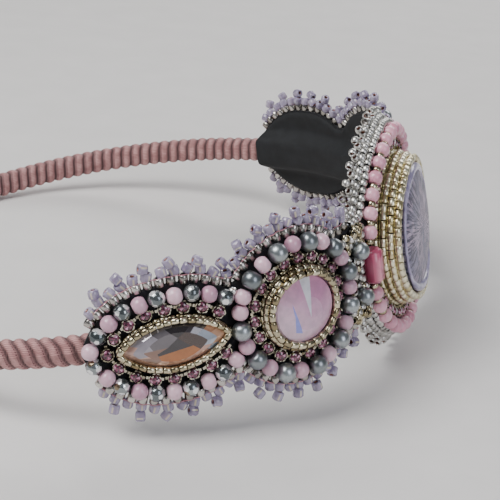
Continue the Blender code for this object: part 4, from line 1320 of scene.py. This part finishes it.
def model_marquise_stone():
    """A disc with a crown and a table, cut across, and its corners moved out to the marquise."""
    begin()
    bpy.ops.mesh.primitive_cylinder_add(vertices=24, radius=1.0, depth=1.2 * MM, location=(0, 0, 1.5 * MM))
    edit()
    pick(lambda at, out: out.z > 0.9)
    bpy.ops.mesh.extrude_region_move(TRANSFORM_OT_translate={"value": (0, 0, 1.2 * MM)})
    bpy.ops.transform.resize(value=(0.82, 0.82, 1.0))
    bpy.ops.mesh.extrude_region_move(TRANSFORM_OT_translate={"value": (0, 0, 0.9 * MM)})
    bpy.ops.transform.resize(value=(0.76, 0.76, 1.0))
    for cut, normal in TABLE_CUTS:
        pick(lambda at, out: out.z > 0.99)
        bpy.ops.mesh.bisect(plane_co=cut, plane_no=normal)
    piece = done()
    for corner in piece.data.vertices:
        reach = hypot(corner.co.x, corner.co.y)
        x, y = marquise(STONE_HALF, STONE_SHAPE, atan2(corner.co.y, corner.co.x))
        corner.co.x, corner.co.y = x * reach, y * reach
    return piece


# Where each reflection lies on the stone, in millimetres, and its colour
MARQUISE_FLASHES = (
    (-10.8, -2.0, "C9A294"), (-7.0, 1.2, "A39CA4"), (-3.2, 3.2, "6A6468"), (1.5, 3.0, "2C2729"),
    (-1.0, 1.0, "393436"), (2.0, -1.6, "A8683A"), (4.4, -0.6, "4A3A34"), (-3.6, -4.1, "DFB29C"),
    (5.5, -3.8, "C99A86"), (8.0, 1.0, "AEB6C2"), (11.5, 1.0, "D9A98A"), (9.8, 3.2, "C08A6A"),
    (-8.0, -3.6, "D2A68C"), (-5.0, -1.8, "8A6A5C"), (6.0, 3.9, "443E42"), (0.5, -4.4, "C89478"))


def nearest_flash(at):
    """Colour of the reflection that lies nearest to a place on the stone."""
    return min(MARQUISE_FLASHES, key=lambda flash: hypot(at.x / MM - flash[0], at.y / MM - flash[1]))[2]


for side, word in SIDES:
    piece = model_marquise_stone()
    colour_faces(piece, lambda at: nearest_flash(Vector((-side * at.x, at.y, at.z))))
    set_stone(piece, "marquise_crystal_" + word, seat(side * NAVETTE_PLACE, 0.0, 0.0), "champagne_stone",
              ("navette_stone_" + word,), champagne)

# %% [markdown]
# ## The cone-cut stones
# The round stone is cone-cut: narrow facets run to one point. Glass shows that point lower
# than it is, so the facets are slid towards it. The stone is milky rose opal, painted paler to
# one side as a glow. One facet has a painted white flash, and a thin triangle is cut out for a
# painted blue reflection.

# %% Cut the cone stones
CONE_RADIUS = 9.0 * MM
# Milky pink painted from pale to deep across the stone as a glow, a painted white flash and a painted blue
# reflection
CONE_LEFT, CONE_RIGHT, CONE_WHITE, CONE_BLUE = "FFDCE6", "E08CB2", "FBF3F7", "9E9CF0"
# In degrees round the stone, where the white flash starts and ends
FLASH_START, FLASH_END = 78, 101
# Where the facets seem to meet, and the corners of the blue reflection in millimetres
CONE_POINT = (0.5 * MM, -2.2 * MM)
SLIVER = ((-4.0, 2.5), (-3.9, -5.0), (-2.1, -5.6))


def model_cone_stone():
    """A disc whose top is raised and drawn in three times, up to a point."""
    begin()
    bpy.ops.mesh.primitive_cylinder_add(vertices=32, radius=CONE_RADIUS, depth=1.4 * MM,
                                        location=(0, 0, 1.6 * MM), rotation=(0, 0, pi / 32))
    edit()
    pick(lambda at, out: out.z > 0.9)
    for rise, share in ((1.0 * MM, 0.92), (1.0 * MM, 0.5), (0.5 * MM, 0.06)):
        bpy.ops.mesh.extrude_region_move(TRANSFORM_OT_translate={"value": (0, 0, rise)})
        bpy.ops.transform.resize(value=(share, share, 1.0))
    return done()


def cone_flash(at, side):
    """Colour of a facet of the cone: milky pink, painted paler to one side as a glow, with a painted white
    flash.
    """
    turn = np.degrees(atan2(at.y, -side * at.x)) % 360
    reach = hypot(at.x, at.y) / CONE_RADIUS
    if FLASH_START < turn < FLASH_END and reach < 0.9:
        return CONE_WHITE
    share = 0.5 + 0.5 * cos(radians(turn - 40)) * reach
    pairs = [(int(CONE_LEFT[i:i + 2], 16), int(CONE_RIGHT[i:i + 2], 16)) for i in (0, 2, 4)]
    return "%02X%02X%02X" % tuple(int(left * (1 - share) + right * share) for left, right in pairs)


def slide_point(piece, side):
    """Glass shows the cone's point lower than it is, so the facets run to a point off the middle."""
    for corner in piece.data.vertices:
        pull = max(0.0, 1.0 - hypot(corner.co.x, corner.co.y) / (8.3 * MM))
        if corner.co.z > 2.5 * MM:
            corner.co.x += -side * CONE_POINT[0] * pull
            corner.co.y += CONE_POINT[1] * pull


def cut_sliver(piece, side):
    """Cut a narrow triangle out of the facets, and colour it as the blue reflection."""
    corners = [Vector((-side * x * MM, y * MM, 0.0)) for x, y in SLIVER]
    middle = sum(corners, Vector()) / 3
    begin()
    bpy.context.view_layer.objects.active = piece
    piece.select_set(True)
    edit()
    sides = []
    for first, second in zip(corners, corners[1:] + corners[:1]):
        across = Vector((first.y - second.y, second.x - first.x, 0.0)).normalized()
        if across.dot(middle - first) < 0:
            across = -across
        sides.append((first, across))
        pick(lambda at, out: out.z > 0.5 and (at - middle).xy.length < 7 * MM)
        bpy.ops.mesh.bisect(plane_co=first, plane_no=across)
    done()
    layer = piece.data.attributes["facet"]
    for face in piece.data.polygons:
        if face.normal.z > 0.5 and all(across.dot(face.center - first) > 0 for first, across in sides):
            for corner in face.loop_indices:
                layer.data[corner].color = linear(CONE_BLUE)


for side, word in SIDES:
    piece = model_cone_stone()
    colour_faces(piece, lambda at: cone_flash(at, side))
    slide_point(piece, side)
    cut_sliver(piece, side)
    set_stone(piece, "cone_crystal_" + word, seat(side * ROUND_PLACE, 0.0, 0.4 * MM), "opal_stone",
              ("round_stone_" + word,), opal)

# %% [markdown]
# ## The medallion's stone
# The medallion's middle is a broad low dome of striated glass, with fine streaks that run
# from its centre, in lilac, grey and pink. The streaks are a noise on polar coordinates.

# %% Mix the streaked stone
# A satin face. The streaks are narrow round the stone and long outward: stretches of the
# noise for each radian, and for each metre outward
STREAKS = (9.0, 0.12 / MM, 1.0)
streaked = new_finish("streaked_lilac_stone", 0.45, Subsurface_Weight=0.15, Subsurface_Scale=0.5,
                      Coat_Weight=0.2, Coat_Roughness=0.25)
x, y, z = own_place(streaked)
angle = add(streaked, "ShaderNodeMath", {0: y, 1: x}, operation="ARCTAN2")[0]
square_x = add(streaked, "ShaderNodeMath", {0: x, 1: x}, operation="MULTIPLY")[0]
square = add(streaked, "ShaderNodeMath", {0: y, 1: y, 2: square_x}, operation="MULTIPLY_ADD")[0]
reach = add(streaked, "ShaderNodeMath", {0: square}, operation="SQRT")[0]
polar = add(streaked, "ShaderNodeCombineXYZ", {0: angle, 1: reach})[0]
fan = add(streaked, "ShaderNodeMapping", {"Scale": STREAKS, "Vector": polar})[0]
fine = {"Scale": 1.6, "Detail": 5.0, "Roughness": 0.7, "Vector": fan}
streak = add(streaked, "ShaderNodeTexNoise", fine)["Fac"]
blotch, light = [
    add(streaked, "ShaderNodeMapRange", {0: source, 1: low, 2: high}, interpolation_type="SMOOTHSTEP")[0]
    for source, low, high in ((grain(streaked, 0.18, 2.0), 0.4, 0.6), (streak, 0.42, 0.58))]
pale = add(streaked, "ShaderNodeMix", {0: blotch, 6: linear("8E829C"), 7: linear("C4A9C0")},
           data_type="RGBA")[2]
stripes = add(streaked, "ShaderNodeMix", {0: light, 6: linear("443C52"), 7: pale}, data_type="RGBA")[2]
show(streaked, stripes, streak, 0.4, 0.2 * MM)
print("streaked stone is mixed")

# %% [markdown]
# ## The dome
# A cabochon is ground to a low dome on a straight foot. It is the cap of a sphere, cut off
# with bisect and flattened, and its flat side is extruded down to the felt.

# %% Model the dome
DOME, DOME_RISE, DOME_FOOT = 16.2 * MM, 2.0 * MM, 7.0 * MM
begin()
bpy.ops.mesh.primitive_uv_sphere_add(segments=48, ring_count=32, radius=DOME)
edit()
bpy.ops.mesh.select_all(action="SELECT")
bpy.ops.mesh.bisect(plane_co=(0, 0, 0.0), plane_no=(0, 0, 1), use_fill=True, clear_inner=True)
bpy.ops.mesh.select_all(action="SELECT")
bpy.ops.transform.resize(value=(1.0, 1.0, DOME_RISE / DOME), center_override=(0, 0, 0))
bpy.ops.transform.translate(value=(0, 0, DOME_FOOT))
pick(lambda at, out: out.z < -0.9)
bpy.ops.mesh.extrude_region_move(TRANSFORM_OT_translate={"value": (0, 0, -6.3 * MM)})
dome = done()
dome.data.shade_smooth()
dome.data.set_sharp_from_angle(angle=radians(50))
own = np.empty(3 * len(dome.data.vertices))
dome.data.vertices.foreach_get("co", own)
dome.data.attributes.new("own", "FLOAT_VECTOR", "POINT").data.foreach_set("vector", own)
set_stone(dome, "streaked_dome_stone", seat(0.0, 0.0, 0.0), "mauve_stone", ("medallion_stone",), streaked)

# %% [markdown]
# ## The glass ring
# A ring of cloudy lilac glass lies round the dome, thicker above and below and pinched in at
# four places. It is a torus, and each of its points is moved in or out from the tube's
# middle by how thick the ring is there.

# %% Model the glass ring
# Pressed glass: glossy, milky inside, and slightly wavy
cloudy = new_finish("cloudy_lilac_glass", 0.22, Subsurface_Weight=0.35, Subsurface_Scale=0.8,
                    Subsurface_Radius=(0.002, 0.0018, 0.0025), Coat_Weight=0.5, Coat_Roughness=0.1)
mist = add(cloudy, "ShaderNodeMapRange", {0: grain(cloudy, 0.3, 4.0), 1: 0.35, 2: 0.65},
           interpolation_type="SMOOTHSTEP")[0]
milky = add(cloudy, "ShaderNodeMix", {0: mist, 6: linear("8F86A6"), 7: linear("B9B0CC")}, data_type="RGBA")[2]
show(cloudy, milky, grain(cloudy, 0.9), 0.3, 0.2 * MM)

GLASS_RING, GLASS_TUBE, GLASS_HEIGHT = 16.4 * MM, 1.35 * MM, 7.1 * MM
begin()
bpy.ops.mesh.primitive_torus_add(major_segments=72, minor_segments=14, major_radius=GLASS_RING,
                                 minor_radius=GLASS_TUBE, location=(0, 0, GLASS_HEIGHT))
glass_ring = done()
for corner in glass_ring.data.vertices:
    turn = atan2(corner.co.y, corner.co.x)
    swell = 0.3 + 0.76 * abs(sin(turn)) ** 3
    pinch = 1.0 - 0.28 * sum(np.exp(-((np.degrees(turn) - at) / 6) ** 2) for at in (-140, -40, 40, 140))
    middle = Vector((GLASS_RING * cos(turn), GLASS_RING * sin(turn), GLASS_HEIGHT))
    corner.co = middle + (corner.co - middle) * swell * pinch
glass_ring.data.shade_smooth()
set_stone(glass_ring, "lilac_glass_ring", seat(0.0, 0.0, 0.0), "lilac_glass", ("lilac_ring",), cloudy)

# %% [markdown]
# ## Floor and lights
# The headband lies on a plain pale sheet. A wide soft light hangs over it from the upper
# left, a smaller one fills from the right and a long one from behind, and the world is a
# dim grey, so that the plated beads have both bright and dark things to mirror.

# %% Set the stage
begin()
bpy.ops.mesh.primitive_plane_add(size=6.0, location=(0, 0, -0.0002))
floor = done()
floor.name = "pale_floor"
# Uncoated paper: quite matte, with clouds a few centimetres wide
paper = new_finish("pale_matte_paper", 0.8)
sheet = add(paper, "ShaderNodeMix", {0: grain(paper, 0.06), 6: linear("D9D6D3"), 7: linear("E4E1DE")},
            data_type="RGBA")[2]
show(paper, sheet)
paint(floor, (paper,))


def soft_light(name, place, target, size, power, tone="FFFFFF"):
    """A rectangular softbox of a size in metres and a power in watts, aimed at a target."""
    lamp = bpy.data.lights.new(name, "AREA")
    lamp.shape = "RECTANGLE"
    lamp.size, lamp.size_y = size
    lamp.energy = power
    lamp.color = linear(tone)[:3]
    holder = bpy.data.objects.new(name, lamp)
    bpy.context.scene.collection.objects.link(holder)
    holder.location = place
    holder.rotation_mode = "QUATERNION"
    holder.rotation_quaternion = (Vector(target) - Vector(place)).to_track_quat("-Z", "Y")


MIDDLE = (0, 0, 0.03)
soft_light("key_softbox", (-0.35, -0.35, 0.75), MIDDLE, (0.5, 0.5), 9.0)
soft_light("fill_softbox", (0.7, -0.5, 0.45), MIDDLE, (0.35, 0.6), 3.0, "EEF2FF")
soft_light("back_softbox", (0.1, 0.8, 0.5), MIDDLE, (0.8, 0.3), 4.0)
world = bpy.data.worlds.new("dim_studio")
bpy.context.scene.world = world
world.use_nodes = True
world.node_tree.nodes["Background"].inputs["Color"].default_value = linear("A2A5AA")
world.node_tree.nodes["Background"].inputs["Strength"].default_value = 0.5
print("stage is set with", len(bpy.data.lights), "softboxes")

# %% [markdown]
# ## The camera
# The camera stands where the photograph was taken from. Its place, in millimetres before the
# headband was laid down, and its angles were worked out from the places of known beads.

# %% Place the camera
FOCAL_PIXELS, PICTURE, SENSOR = 1440.0, 500.0, 36.0
stand = Vector((81.33, -362.42, 136.06)) * MM
yaw, pitch, roll = radians(-18.68), radians(20.34), radians(-7.99)
forward = Vector((sin(yaw) * cos(pitch), cos(yaw) * cos(pitch), -sin(pitch)))
level = Vector((cos(yaw), -sin(yaw), 0.0))
upright = level.cross(forward)
right = cos(roll) * level + sin(roll) * upright
above = cos(roll) * upright - sin(roll) * level
axes = Matrix((right, above, -forward)).transposed().to_4x4()
camera = bpy.data.objects.new("camera", bpy.data.cameras.new("camera"))
bpy.context.scene.collection.objects.link(camera)
camera.data.sensor_width = SENSOR
camera.data.lens = FOCAL_PIXELS / PICTURE * SENSOR
camera.matrix_world = LYING @ Matrix.Translation(stand) @ axes
bpy.context.scene.camera = camera
print("camera at", [round(c, 3) for c in camera.matrix_world.translation], "lens", round(camera.data.lens, 1))
